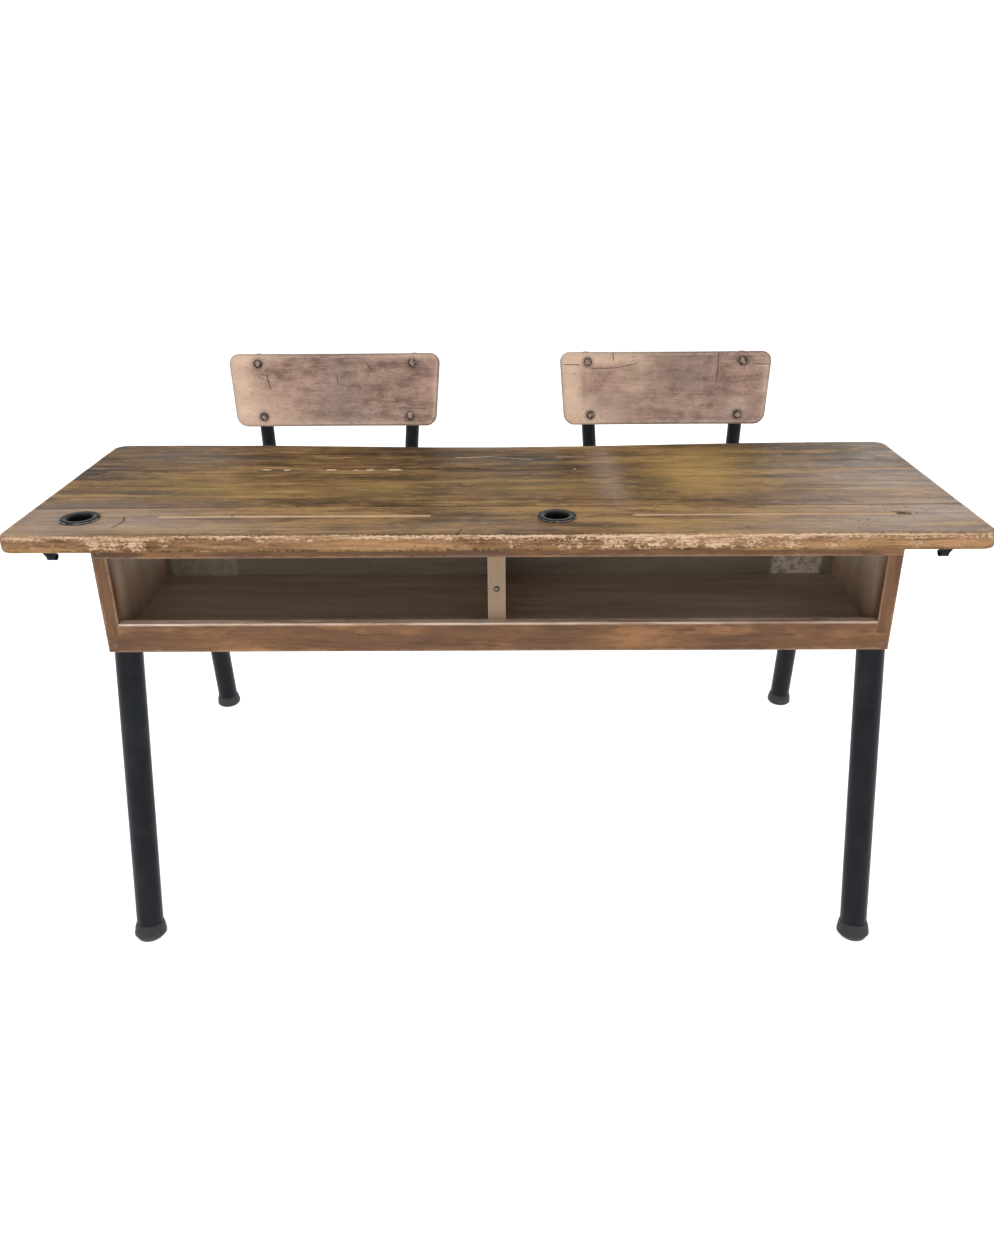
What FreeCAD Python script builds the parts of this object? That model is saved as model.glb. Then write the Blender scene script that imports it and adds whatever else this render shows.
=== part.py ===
import FreeCAD, Part
import math
import os

from FreeCAD import Vector

# A double school desk: one long top over two open book compartments, and two chairs
# fixed behind it on the same tubular steel frame. The pupils sit facing minus Y.
#
# While it is built, X is zero in the middle, Y is zero at the front edge of the top
# (the edge away from the pupils) and Z is zero on the floor. At the end everything is
# moved along Y, so that the origin lies under the middle of the whole object.
# Lengths are millimetres and angles are degrees.

# General clearances
overrun = 5.0
weld_gap = 0.1
hole_gap = 0.1
lift_gap = 0.3

# Box of two book compartments
box_length = 1089.0
box_setback = 40.0
box_depth = 230.0
box_height = 163.5
board_thickness = 20.0
rail_thickness = 12.0
lower_rail_height = 43.5
upper_rail_height = 23.0
finger_height = 18.0
floor_rise = 15.0
floor_thickness = 10.0
floor_groove_depth = 6.0
partition_thickness = 18.0
post_width = 24.4
post_depth = 20.0
lip_height = 33.0
lip_thickness = 12.0
end_board_reach = 370.0
end_board_nose = 27.0

# Desk top of three planks, tongued and grooved together
top_overhang = 105.5
top_depth = 455.0
top_thickness = 23.0
top_height = 750.0
front_plank_width = 118.0
rear_plank_width = 153.0
top_corner_radius = 25.0
top_edge_round = 6.0
under_edge_round = 3.0
tongue_length = 8.0
tongue_thickness = 7.0
tongue_gap = 0.2
joint_arris = 0.8

# Pen groove
groove_y = 80.0
groove_radius = 5.0
groove_gap = 105.0

# Inkwell: a flanged collar let into the front plank, and a cup that lifts out of it
inkwell_y = 73.0
collar_flange_radius = 26.5
collar_flange_height = 1.6
collar_sleeve_radius = 22.8
collar_bore_radius = 20.4
collar_recess_radius = 24.2
collar_recess_depth = 1.0
collar_edge = 0.7
cup_clearance = 0.5
cup_rim_clearance = 0.5
cup_rim_height = 1.6
cup_depth = 38.0
cup_wall = 2.2
cup_foot_edge = 3.0
cup_mouth_radius = 16.5
cup_mouth_flare = 3.0
cup_mouth_depth = 3.0
cup_shoulder_depth = 3.0
cup_rim_edge = 0.6

# Satchel hooks under the overhang
hook_inset = 56.5
hook_front = 28.0
hook_plate_width = 30.0
hook_plate_length = 27.0
hook_thickness = 2.5
hook_tip_width = 11.0
hook_drop = 15.5
hook_curl_radius = 6.5
hook_screw_inset = 9.0
hook_screw_spacing = 11.0

# Legs
leg_radius = 21.2
leg_wall = 2.0
front_leg_clearance = 1.0
front_leg_splay = 26.3
front_foot_y = 99.0
front_leg_top_y = 210.0
rear_leg_reach = 433.0
rear_leg_lean = 6.5
rear_leg_outset = 94.3
rear_leg_knee_height = 250.0
rear_leg_bend = 80.0

# Feet: cast caps, flared into a bead near the floor
foot_bead_radius = 25.8
foot_bead_height = 8.0
foot_bead_half = 4.0
foot_tread_radius = 20.5
foot_tread_depth = 5.0
foot_waist_radius = 24.7
foot_waist_height = 15.0
foot_shoulder_radius = 23.4
foot_shoulder_height = 20.0
foot_lip_radius = 21.8
foot_height = 25.0
foot_socket_floor = 8.0

# Plates that carry the top on the front legs
plate_thickness = 3.0
plate_width = 70.0
plate_length = 88.0
plate_screw_inset = 12.0

# Frame under the chairs
seat_rail_radius = 17.5
seat_rail_wall = 2.0
seat_rail_start_drop = 38.0
seat_rail_knee_inset = 100.0
seat_rail_bend = 120.0
seat_rail_tail = 117.0
seat_rail_cap_dome = 5.0
seat_rail_cap_depth = 14.0
rear_leg_joint_inset = 22.0
beam_radius = 15.0
beam_wall = 2.0
front_beam_inset = 125.0
rear_beam_inset = 265.0
saddle_depth = 1.0

# Chairs
chair_offset = 317.0
chair_tube_radius = 13.0
chair_tube_wall = 1.5
chair_tube_setback = 60.0
chair_tube_bend = 50.0
seat_top_height = 440.0
seat_thickness = 12.0
seat_width = 380.0
seat_tuck = 125.0
seat_depth = 310.0
seat_corner_radius = 40.0
seat_roll_radius = 60.0
seat_roll_angle = 35.0
seat_upturn_radius = 120.0
seat_upturn_angle = 8.0
seat_edge_round = 3.0
seat_screw_front_inset = 95.0
seat_screw_rear_inset = 30.0

# Backrests
backrest_reach = 280.0
backrest_height = 781.0
backrest_recline = 12.0
backrest_top_width = 406.0
backrest_bottom_width = 385.0
backrest_span = 137.0
backrest_thickness = 12.0
backrest_sagitta = 18.0
backrest_corner_radius = 20.0
backrest_edge_round = 3.0
lower_bolt_half = 145.0
upper_bolt_half = 151.5
bolt_spacing = 100.0
tube_top_margin = 5.0
plug_depth = 8.0
plug_dome = 3.5

# Fasteners
bolt_radius = 3.0
bolt_head_radius = 8.0
bolt_head_height = 3.6
nut_radius = 6.5
nut_height = 5.0
bolt_tail = 2.0
wood_screw_radius = 2.0
wood_screw_head_radius = 4.0
wood_screw_head_depth = 2.2
wood_screw_length = 17.0
post_screw_head_radius = 4.6
post_screw_head_height = 2.4
post_screw_length = 45.0
post_screw_rise = 89.0
coach_screw_radius = 3.5
coach_screw_head_radius = 7.0
coach_screw_head_height = 5.0
coach_screw_bite = 16.0
coach_screw_low = 50.0
coach_screw_high = 130.0
spacer_radius = 9.0
nail_radius = 1.4
nail_head_radius = 3.0
nail_head_height = 1.0
nail_length = 40.0
nail_rise = 10.0
nail_inset = 10.0

# Places and lines that follow from the sizes above
box_half = box_length / 2
top_half = box_half + top_overhang
top_underside = top_height - top_thickness
box_bottom = top_underside - box_height
box_front = box_setback
box_rear = box_setback + box_depth
lower_rail_top = box_bottom + lower_rail_height
upper_rail_bottom = top_underside - upper_rail_height
post_screw_height = box_bottom + post_screw_rise
seat_rail_start_height = box_bottom - seat_rail_start_drop
rail_rear = box_front + rail_thickness
floor_bottom = box_bottom + floor_rise
floor_top = floor_bottom + floor_thickness
inner_half = box_half - board_thickness
plank_joints = (front_plank_width, top_depth - rear_plank_width)
plank_names = ("top_plank_front", "top_plank_middle", "top_plank_rear")
plate_underside = top_underside - plate_thickness
front_leg_top_x = box_half + leg_radius + front_leg_clearance
front_foot_x = front_leg_top_x + front_leg_splay
rear_leg_x = front_leg_top_x + rear_leg_outset
rear_foot_y = top_depth + rear_leg_reach
backrest_y = top_depth + backrest_reach
chair_tube_z = seat_top_height - seat_thickness - chair_tube_radius
beam_z = chair_tube_z - chair_tube_radius - beam_radius + saddle_depth
seat_front_y = top_depth - seat_tuck
seat_rear_y = seat_front_y + seat_depth
seat_rail_knee_y = seat_front_y + seat_rail_knee_inset
front_beam_y = seat_front_y + front_beam_inset
rear_beam_y = seat_front_y + rear_beam_inset
seat_rail_rear_y = rear_beam_y + seat_rail_tail
rear_leg_joint_y = seat_rail_rear_y - rear_leg_joint_inset
chair_tube_front_y = seat_front_y + chair_tube_setback
seat_screw_rows = (seat_front_y + seat_screw_front_inset, seat_rear_y - seat_screw_rear_inset)
backrest_radius = ((backrest_top_width / 2) ** 2 + backrest_sagitta ** 2) / (2 * backrest_sagitta)
sides = (("left", -1), ("right", 1))

# Each pupil's place: where it starts, how far in its inkwell lies, and where its groove ends
pupil_places = (
    ("left", -top_half, 85.5, 89.5),
    ("right", 0.0, 82.0, 83.0),
)


# Helpers

def block(low, high):
    """A box between two opposite corners."""
    size = high - low
    return Part.makeBox(size.x, size.y, size.z, low)


def rod(start, end, radius):
    """A round bar from one point to another."""
    along = end - start
    return Part.makeCylinder(radius, along.Length, start, along)


def tube(start, end, radius, wall):
    """A straight pipe from one point to another."""
    along = (end - start).normalize() * overrun
    return rod(start, end, radius).cut(rod(start - along, end + along, radius - wall))


def plate_along_x(outline, x_low, x_high):
    """A flat piece with its outline given as Y and Z, between two values of X."""
    corners = [Vector(x_low, y, z) for y, z in outline]
    face = Part.Face(Part.makePolygon(corners + corners[:1]))
    return face.extrude(Vector(x_high - x_low, 0, 0))


def turned(outline, foot, direction):
    """A turned piece: its outline, as radius and height, spun about an axis through foot."""
    corners = [Vector(radius, 0, height) for radius, height in outline]
    face = Part.Face(Part.makePolygon(corners + corners[:1]))
    solid = face.revolve(Vector(0, 0, 0), Vector(0, 0, 1), 360)
    placement = FreeCAD.Placement(foot, FreeCAD.Rotation(Vector(0, 0, 1), direction))
    solid.transformShape(placement.toMatrix())
    return solid


def bent_path(start, corner, end, bend):
    """Two straight runs joined by one tangent arc at the corner."""
    to_start = (start - corner).normalize()
    to_end = (end - corner).normalize()
    half_angle = to_start.getAngle(to_end) / 2
    middle = (to_start + to_end).normalize()
    arc_start = corner + to_start * (bend / math.tan(half_angle))
    arc_end = corner + to_end * (bend / math.tan(half_angle))
    arc_middle = corner + middle * (bend / math.sin(half_angle) - bend)
    runs = [
        Part.makeLine(start, arc_start),
        Part.Arc(arc_start, arc_middle, arc_end).toShape(),
        Part.makeLine(arc_end, end),
    ]
    return Part.Wire(runs)


def bent_rod(start, corner, end, bend, radius):
    """A round bar with one bend."""
    ring = Part.Wire(Part.makeCircle(radius, start, corner - start))
    return bent_path(start, corner, end, bend).makePipeShell([ring], True, False)


def bent_tube(start, corner, end, bend, radius, wall):
    """A pipe with one bend, open at both ends."""
    first = (start - corner).normalize() * overrun
    last = (end - corner).normalize() * overrun
    bore = bent_rod(start + first, corner, end + last, bend, radius - wall)
    return bent_rod(start, corner, end, bend, radius).cut(bore)


def wood_screw(head, direction, growth=0.0):
    """A countersunk wood screw; head is the middle of its flat face."""
    way = direction.normalize()
    seat = head + way * (wood_screw_head_depth + growth)
    cone = Part.makeCone(wood_screw_head_radius + growth, wood_screw_radius + growth,
                         wood_screw_head_depth + growth, head, way)
    shank = rod(seat, head + way * (wood_screw_length + growth), wood_screw_radius + growth)
    return cone.fuse(shank).removeSplitter()


def dome(radius, height, foot, direction):
    """A low dome, as on a bolt head, standing on a flat disc."""
    sphere_radius = (radius ** 2 + height ** 2) / (2 * height)
    way = direction.normalize()
    ball = Part.makeSphere(sphere_radius, foot - way * (sphere_radius - height))
    disc = Part.makeCylinder(radius, height + overrun, foot, way)
    return ball.common(disc)


def round_edges(solid, radius, edges):
    """The solid with the given edges rounded."""
    return solid.makeFillet(radius, edges)


# Lines of the frame

def front_leg_point(side, height):
    """A point on the axis of a front leg, which leans back and towards the box."""
    share = height / plate_underside
    x = front_foot_x + (front_leg_top_x - front_foot_x) * share
    y = front_foot_y + (front_leg_top_y - front_foot_y) * share
    return Vector(side * x, y, height)


def rear_leg_point(side, height):
    """A point on the axis of a rear leg, which leans forward as it rises."""
    y = rear_foot_y - height * math.tan(math.radians(rear_leg_lean))
    return Vector(side * rear_leg_x, y, height)


def rear_leg_points(side):
    """Foot end, knee and top end of a rear leg, which bends forward under the seat rail."""
    start = point_along(rear_leg_point, side, foot_socket_floor)
    knee = rear_leg_point(side, rear_leg_knee_height)
    return start, knee, Vector(side * rear_leg_x, rear_leg_joint_y, beam_z)


def seat_rail_points(side):
    """Start, knee and rear end of the rail from the front leg to the top of the rear leg."""
    start = front_leg_point(side, seat_rail_start_height)
    end = Vector(side * rear_leg_x, seat_rail_rear_y, beam_z)
    share = (seat_rail_knee_y - start.y) / (end.y - start.y)
    knee_x = start.x + (end.x - start.x) * share
    return start, Vector(knee_x, seat_rail_knee_y, beam_z), end


def backrest_to_desk(chair, across, behind, up):
    """Turns a place on the reclined backrest of a chair into a place on the desk."""
    lean = math.radians(backrest_recline)
    y = backrest_y + behind * math.cos(lean) + up * math.sin(lean)
    z = backrest_height - behind * math.sin(lean) + up * math.cos(lean)
    return Vector(chair * chair_offset + across, y, z)


def bolt_place(chair, hand, upper, distance):
    """A point on the line of a backrest bolt, at a distance behind the front face."""
    half = upper_bolt_half if upper else lower_bolt_half
    up = bolt_spacing / 2 if upper else -bolt_spacing / 2
    tube_distance = backrest_radius + backrest_thickness + chair_tube_radius + weld_gap
    angle = math.asin(half / tube_distance)
    reach = backrest_radius + distance
    across = hand * reach * math.sin(angle)
    behind = reach * math.cos(angle) - backrest_radius
    return backrest_to_desk(chair, across, behind, up)


def chair_tube_points(chair, hand):
    """Front end, corner and top end of one chair tube."""
    behind = backrest_thickness + chair_tube_radius + weld_gap
    low = bolt_place(chair, hand, False, behind)
    high = bolt_place(chair, hand, True, behind)
    way = (high - low).normalize()
    corner = low - way * ((low.z - chair_tube_z) / way.z)
    top_height_of_tube = backrest_height + (backrest_span / 2 - tube_top_margin) * way.z
    top = low + way * ((top_height_of_tube - low.z) / way.z)
    front = Vector(corner.x, chair_tube_front_y, chair_tube_z)
    return front, corner, top


# Desk top

def top_slab():
    """The whole top before it is divided: rounded corners in plan and rounded edges."""
    slab = block(Vector(-top_half, 0, top_underside), Vector(top_half, top_depth, top_height))
    corners = [edge for edge in slab.Edges if abs(edge.BoundBox.ZLength - top_thickness) < overrun]
    slab = round_edges(slab, top_corner_radius, corners)
    upper = [edge for edge in slab.Edges if edge.BoundBox.ZMin > top_height - overrun]
    slab = round_edges(slab, top_edge_round, upper)
    lower = [edge for edge in slab.Edges if edge.BoundBox.ZMax < top_underside + under_edge_round / 2]
    return round_edges(slab, under_edge_round, lower)


def tongue(joint_y, growth):
    """The tongue that enters the plank in front of a joint, grown for its groove."""
    middle = top_underside + top_thickness / 2
    half = tongue_thickness / 2 + growth
    low = Vector(-top_half - overrun, joint_y - tongue_length - growth, middle - half)
    high = Vector(top_half + overrun, joint_y, middle + half)
    return block(low, high)


def joint_notch(joint_y):
    """The small V along the top of a joint, left by the broken arrises."""
    outline = [
        (joint_y - joint_arris, top_height),
        (joint_y, top_height - joint_arris),
        (joint_y + joint_arris, top_height),
        (joint_y, top_height + joint_arris),
    ]
    return plate_along_x(outline, -top_half - overrun, top_half + overrun)


def plank(slab, y_low, y_high):
    """One plank of the top, with a tongue at its front joint and a groove at its rear one."""
    low = Vector(-top_half - overrun, y_low, top_underside - overrun)
    high = Vector(top_half + overrun, y_high, top_height + overrun)
    region = block(low, high)
    if y_low in plank_joints:
        region = region.fuse(tongue(y_low, 0.0))
    if y_high in plank_joints:
        region = region.cut(tongue(y_high, tongue_gap))
    solid = slab.common(region)
    for joint_y in plank_joints:
        solid = solid.cut(joint_notch(joint_y))
    return solid


def pen_groove(x_low, x_high):
    """A half-round groove with round ends."""
    start = Vector(x_low + groove_radius, groove_y, top_height)
    end = Vector(x_high - groove_radius, groove_y, top_height)
    bar = rod(start, end, groove_radius)
    return bar.fuse([Part.makeSphere(groove_radius, start), Part.makeSphere(groove_radius, end)])


def build_top(nodes):
    """The three planks, with the grooves and inkwell holes cut in the front one."""
    slab = top_slab()
    edges = (0.0,) + plank_joints + (top_depth,)
    for name, y_low, y_high in zip(plank_names, edges[:-1], edges[1:]):
        nodes[name] = plank(slab, y_low, y_high)
    front = nodes["top_plank_front"]
    for name, place_x, inkwell_inset, groove_margin in pupil_places:
        inkwell_x = place_x + inkwell_inset
        foot = Vector(inkwell_x, inkwell_y, top_underside - overrun)
        hole = Part.makeCylinder(collar_sleeve_radius + hole_gap, top_thickness + 2 * overrun, foot)
        groove_end = place_x + top_half - groove_margin
        front = front.cut(hole).cut(pen_groove(inkwell_x + groove_gap, groove_end))
    nodes["top_plank_front"] = front


def drill_planks(nodes, hole):
    """Cuts a screw hole in whichever planks it reaches."""
    for name in plank_names:
        nodes[name] = nodes[name].cut(hole)


# Inkwells

def collar_outline():
    """Section of the collar, as radius and height above the top."""
    flange_top = collar_flange_height
    return [
        (collar_bore_radius, -top_thickness),
        (collar_sleeve_radius, -top_thickness),
        (collar_sleeve_radius, 0.0),
        (collar_flange_radius, 0.0),
        (collar_flange_radius, flange_top - collar_edge),
        (collar_flange_radius - collar_edge, flange_top),
        (collar_recess_radius, flange_top),
        (collar_recess_radius, flange_top - collar_recess_depth),
        (collar_bore_radius, flange_top - collar_recess_depth),
    ]


def cup_outline():
    """Section of the cup, as radius and height above the top."""
    body = collar_bore_radius - cup_clearance
    rim = collar_recess_radius - cup_rim_clearance
    rim_bottom = collar_flange_height - collar_recess_depth + lift_gap
    rim_top = rim_bottom + cup_rim_height
    bottom = rim_bottom - cup_depth
    inside = body - cup_wall
    return [
        (0.0, bottom),
        (body - cup_foot_edge, bottom),
        (body, bottom + cup_foot_edge),
        (body, rim_bottom),
        (rim, rim_bottom),
        (rim, rim_top - cup_rim_edge),
        (rim - cup_rim_edge, rim_top),
        (cup_mouth_radius + cup_mouth_flare, rim_top),
        (cup_mouth_radius, rim_top - cup_mouth_depth),
        (cup_mouth_radius, rim_top - cup_mouth_depth - cup_wall),
        (inside, rim_top - cup_mouth_depth - cup_wall - cup_shoulder_depth),
        (inside, bottom + cup_foot_edge),
        (inside - cup_foot_edge + cup_wall / 2, bottom + cup_wall),
        (0.0, bottom + cup_wall),
    ]


def build_inkwells(nodes):
    """A collar and a cup at each pupil's place."""
    up = Vector(0, 0, 1)
    for name, place_x, inkwell_inset, groove_margin in pupil_places:
        foot = Vector(place_x + inkwell_inset, inkwell_y, top_height)
        nodes["inkwell_collar_" + name] = turned(collar_outline(), foot, up)
        nodes["inkwell_cup_" + name] = turned(cup_outline(), foot, up)


# Book compartments

def board_outline(front_y):
    """Outline of an end board or the partition: its rear edge slants back to carry the top."""
    reach = box_front + end_board_reach
    return [
        (front_y, box_bottom),
        (box_rear, box_bottom),
        (box_rear, lower_rail_top),
        (reach, top_underside - end_board_nose),
        (reach, top_underside),
        (front_y, top_underside),
    ]


def rail_blocks():
    """The two front rails before their ends are notched."""
    lower = block(Vector(-box_half, box_front, box_bottom), Vector(box_half, rail_rear, lower_rail_top))
    upper = block(Vector(-box_half, box_front, upper_rail_bottom), Vector(box_half, rail_rear, top_underside))
    return lower, upper


def end_finger(side):
    """The finger of an end board that shows in the notched end of the lower rail."""
    near = side * inner_half
    far = side * box_half
    low = Vector(min(near, far), box_front, lower_rail_top - finger_height)
    high = Vector(max(near, far), rail_rear, lower_rail_top)
    return block(low, high)


def build_box(nodes):
    """Rails, end boards, floor, partition, post and the lips behind the compartments."""
    lower_rail, upper_rail = rail_blocks()
    floor_half = inner_half + floor_groove_depth
    floor = block(Vector(-floor_half, rail_rear, floor_bottom), Vector(floor_half, box_rear, floor_top))
    for name, side in sides:
        near = min(side * inner_half, side * box_half)
        board = plate_along_x(board_outline(box_front), near, near + board_thickness)
        finger = end_finger(side)
        board = board.cut(lower_rail).cut(upper_rail).fuse(finger).cut(floor)
        nodes["box_end_" + name] = board.removeSplitter()
        lower_rail = lower_rail.cut(finger)
    nodes["box_front_rail"] = lower_rail
    nodes["box_upper_rail"] = upper_rail
    nodes["box_floor"] = floor
    half = partition_thickness / 2
    partition = plate_along_x(board_outline(rail_rear + post_depth), -half, half)
    below_floor = block(Vector(-half - overrun, 0, box_bottom - overrun),
                        Vector(half + overrun, top_depth, floor_top))
    nodes["box_partition"] = partition.cut(below_floor)
    low = Vector(-post_width / 2, rail_rear, floor_top)
    high = Vector(post_width / 2, rail_rear + post_depth, top_underside)
    nodes["partition_post"] = block(low, high)
    for name, side in sides:
        near = side * half
        far = side * inner_half
        low = Vector(min(near, far), box_rear - lip_thickness, floor_top)
        high = Vector(max(near, far), box_rear, floor_top + lip_height)
        nodes["box_lip_" + name] = block(low, high)


def build_box_fasteners(nodes):
    """The round-headed screw in the post and the nails at the ends of the rails."""
    back = Vector(0, 1, 0)
    face = Vector(0, rail_rear, post_screw_height)
    head = dome(post_screw_head_radius, post_screw_head_height, face, Vector(0, -1, 0))
    shank = rod(face, face + back * post_screw_length, wood_screw_radius)
    hole = rod(face - back * overrun, face + back * (post_screw_length + hole_gap),
               wood_screw_radius + hole_gap)
    nodes["partition_post"] = nodes["partition_post"].cut(hole)
    nodes["box_partition"] = nodes["box_partition"].cut(hole)
    nodes["partition_screw"] = head.fuse(shank).removeSplitter()
    nails = []
    for name, side in sides:
        for rail, height in (("box_front_rail", box_bottom + nail_rise),
                             ("box_upper_rail", upper_rail_bottom + nail_rise)):
            start = Vector(side * (box_half - nail_inset), box_front, height)
            sunk = start + back * nail_head_height
            nail = rod(start, sunk, nail_head_radius).fuse(rod(sunk, start + back * nail_length, nail_radius))
            nails.append(nail.removeSplitter())
            hole = rod(start, sunk + back * hole_gap, nail_head_radius + hole_gap)
            hole = hole.fuse(rod(start, start + back * (nail_length + hole_gap), nail_radius + hole_gap))
            nodes[rail] = nodes[rail].cut(hole)
            nodes["box_end_" + name] = nodes["box_end_" + name].cut(hole)
    nodes["box_nails"] = Part.makeCompound(nails)


# Satchel hooks

def satchel_hook(side):
    """A strip of steel: a plate under the top, a tapering drop and a half-round curl."""
    x = side * (top_half - hook_inset)
    half = hook_plate_width / 2
    tip_half = hook_tip_width / 2
    rear = hook_front + hook_plate_length
    plate = block(Vector(x - half, hook_front, top_underside - hook_thickness),
                  Vector(x + half, rear, top_underside))
    drop_bottom = top_underside - hook_drop
    corners = [
        Vector(x - half, hook_front, top_underside - hook_thickness),
        Vector(x + half, hook_front, top_underside - hook_thickness),
        Vector(x + tip_half, hook_front, drop_bottom),
        Vector(x - tip_half, hook_front, drop_bottom),
    ]
    drop = Part.Face(Part.makePolygon(corners + corners[:1])).extrude(Vector(0, hook_thickness, 0))
    axis_foot = Vector(x - tip_half, hook_front + hook_curl_radius, drop_bottom)
    across = Vector(1, 0, 0)
    ring = Part.makeCylinder(hook_curl_radius, hook_tip_width, axis_foot, across)
    ring = ring.cut(Part.makeCylinder(hook_curl_radius - hook_thickness, hook_tip_width, axis_foot, across))
    above = block(Vector(x - half, 0, drop_bottom), Vector(x + half, rear + overrun, top_underside))
    ring = ring.cut(above)
    return plate.fuse([drop, ring]).removeSplitter()


def build_hooks(nodes):
    """One hook under each end of the top, with two screws each."""
    screws = []
    for name, side in sides:
        hook = satchel_hook(side)
        x = side * (top_half - hook_inset)
        for index in range(2):
            y = hook_front + hook_screw_inset + index * hook_screw_spacing
            head = Vector(x, y, top_underside - hook_thickness)
            up = Vector(0, 0, 1)
            screws.append(wood_screw(head, up))
            hole = wood_screw(head, up, hole_gap)
            hook = hook.cut(hole)
            drill_planks(nodes, hole)
        nodes["satchel_hook_" + name] = hook
    nodes["satchel_hook_screws"] = Part.makeCompound(screws)


# Frame

def foot_outline():
    """Section of a foot, as radius and height along the leg from the floor."""
    socket = leg_radius + weld_gap
    return [
        (0.0, -foot_tread_depth),
        (foot_tread_radius, -foot_tread_depth),
        (foot_tread_radius + foot_bead_half / 2, foot_bead_height - 2 * foot_bead_half),
        (foot_bead_radius, foot_bead_height - foot_bead_half),
        (foot_bead_radius, foot_bead_height),
        (foot_bead_radius - foot_bead_half / 4, foot_bead_height + foot_bead_half),
        (foot_waist_radius, foot_waist_height),
        (foot_shoulder_radius, foot_shoulder_height),
        (foot_lip_radius, foot_height),
        (socket, foot_height),
        (socket, foot_socket_floor),
        (0.0, foot_socket_floor),
    ]


def foot(leg_point, side):
    """A flared foot on the end of a leg, ground flat where it meets the floor."""
    floor_point = leg_point(side, 0.0)
    direction = leg_point(side, foot_height) - floor_point
    solid = turned(foot_outline(), floor_point, direction)
    reach = Vector(foot_height, foot_height, foot_height)
    under = block(floor_point - reach, floor_point + Vector(reach.x, reach.y, 0))
    return solid.cut(under)


def point_along(leg_point, side, distance):
    """The point of a leg's axis at a distance from the floor point, along the leg."""
    floor_point = leg_point(side, 0.0)
    direction = (leg_point(side, foot_height) - floor_point).normalize()
    return floor_point + direction * distance


def front_leg(side):
    """A straight leg, cut level under the plate that carries the top."""
    start = point_along(front_leg_point, side, foot_socket_floor)
    leg = tube(start, front_leg_point(side, top_height), leg_radius, leg_wall)
    reach = 2 * leg_radius + overrun
    top_point = front_leg_point(side, plate_underside)
    above = block(top_point - Vector(reach, reach, 0), top_point + Vector(reach, reach, reach))
    return leg.cut(above)


def rear_leg(side):
    """A leg that leans forward, bends further forward at its knee, and fits under the seat rail."""
    start, knee, end = rear_leg_points(side)
    leg = bent_tube(start, knee, end, rear_leg_bend, leg_radius, leg_wall)
    reach = 2 * leg_radius + overrun
    above = block(end - Vector(reach, reach, 0), end + Vector(reach, reach, reach))
    rail_start, rail_knee, rail_end = seat_rail_points(side)
    beyond = rail_end + (rail_end - rail_knee).normalize() * reach
    rail_body = rod(rail_knee, beyond, seat_rail_radius + weld_gap)
    return leg.cut(above).cut(rail_body)


def build_legs(nodes):
    """Four legs with their feet."""
    for name, side in sides:
        nodes["front_leg_" + name] = front_leg(side)
        nodes["foot_front_" + name] = foot(front_leg_point, side)
        nodes["rear_leg_" + name] = rear_leg(side)
        nodes["foot_rear_" + name] = foot(rear_leg_point, side)


def build_top_plates(nodes):
    """A plate on each front leg, screwed up into the planks."""
    screws = []
    up = Vector(0, 0, 1)
    for name, side in sides:
        near = box_half + front_leg_clearance
        x_low = min(side * near, side * (near + plate_width))
        y_low = front_leg_top_y - plate_length / 2
        corner = Vector(x_low, y_low, plate_underside)
        plate = Part.makeBox(plate_width, plate_length, plate_thickness, corner)
        for x in (x_low + plate_screw_inset, x_low + plate_width - plate_screw_inset):
            for y in (y_low + plate_screw_inset, y_low + plate_length - plate_screw_inset):
                head = Vector(x, y, plate_underside)
                screws.append(wood_screw(head, up))
                hole = wood_screw(head, up, hole_gap)
                plate = plate.cut(hole)
                drill_planks(nodes, hole)
        nodes["top_plate_" + name] = plate
    nodes["top_plate_screws"] = Part.makeCompound(screws)


def coach_screw(side, height, growth=0.0):
    """A hexagon-headed screw through a front leg into an end board."""
    leg_middle = front_leg_point(side, height)
    inward = Vector(-side, 0, 0)
    head_seat = leg_middle - inward * (leg_radius + weld_gap)
    tip_x = side * (box_half - coach_screw_bite - growth)
    tip = Vector(tip_x, leg_middle.y, leg_middle.z)
    shank = rod(head_seat, tip, coach_screw_radius + growth)
    corners = [
        head_seat + Vector(0, coach_screw_head_radius * math.cos(math.radians(60 * index)),
                           coach_screw_head_radius * math.sin(math.radians(60 * index)))
        for index in range(6)
    ]
    head = Part.Face(Part.makePolygon(corners + corners[:1])).extrude(inward * -coach_screw_head_height)
    return shank.fuse(head).removeSplitter()


def build_leg_screws(nodes):
    """Two screws hold each end board to its front leg, across spacers."""
    screws = []
    spacers = []
    for name, side in sides:
        leg_name = "front_leg_" + name
        board_name = "box_end_" + name
        lower_leg = front_leg_point(side, 0.0)
        upper_leg = front_leg_point(side, top_height)
        leg_body = rod(lower_leg, upper_leg, leg_radius + weld_gap)
        for rise in (coach_screw_low, coach_screw_high):
            height = box_bottom + rise
            hole = coach_screw(side, height, hole_gap)
            screws.append(coach_screw(side, height))
            middle = front_leg_point(side, height)
            board_face = Vector(side * box_half, middle.y, middle.z)
            spacer = rod(board_face, middle, spacer_radius).cut(leg_body).cut(hole)
            spacers.append(spacer)
            nodes[leg_name] = nodes[leg_name].cut(hole)
            nodes[board_name] = nodes[board_name].cut(hole)
    nodes["leg_screws"] = Part.makeCompound(screws)
    nodes["leg_spacers"] = Part.makeCompound(spacers)


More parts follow.
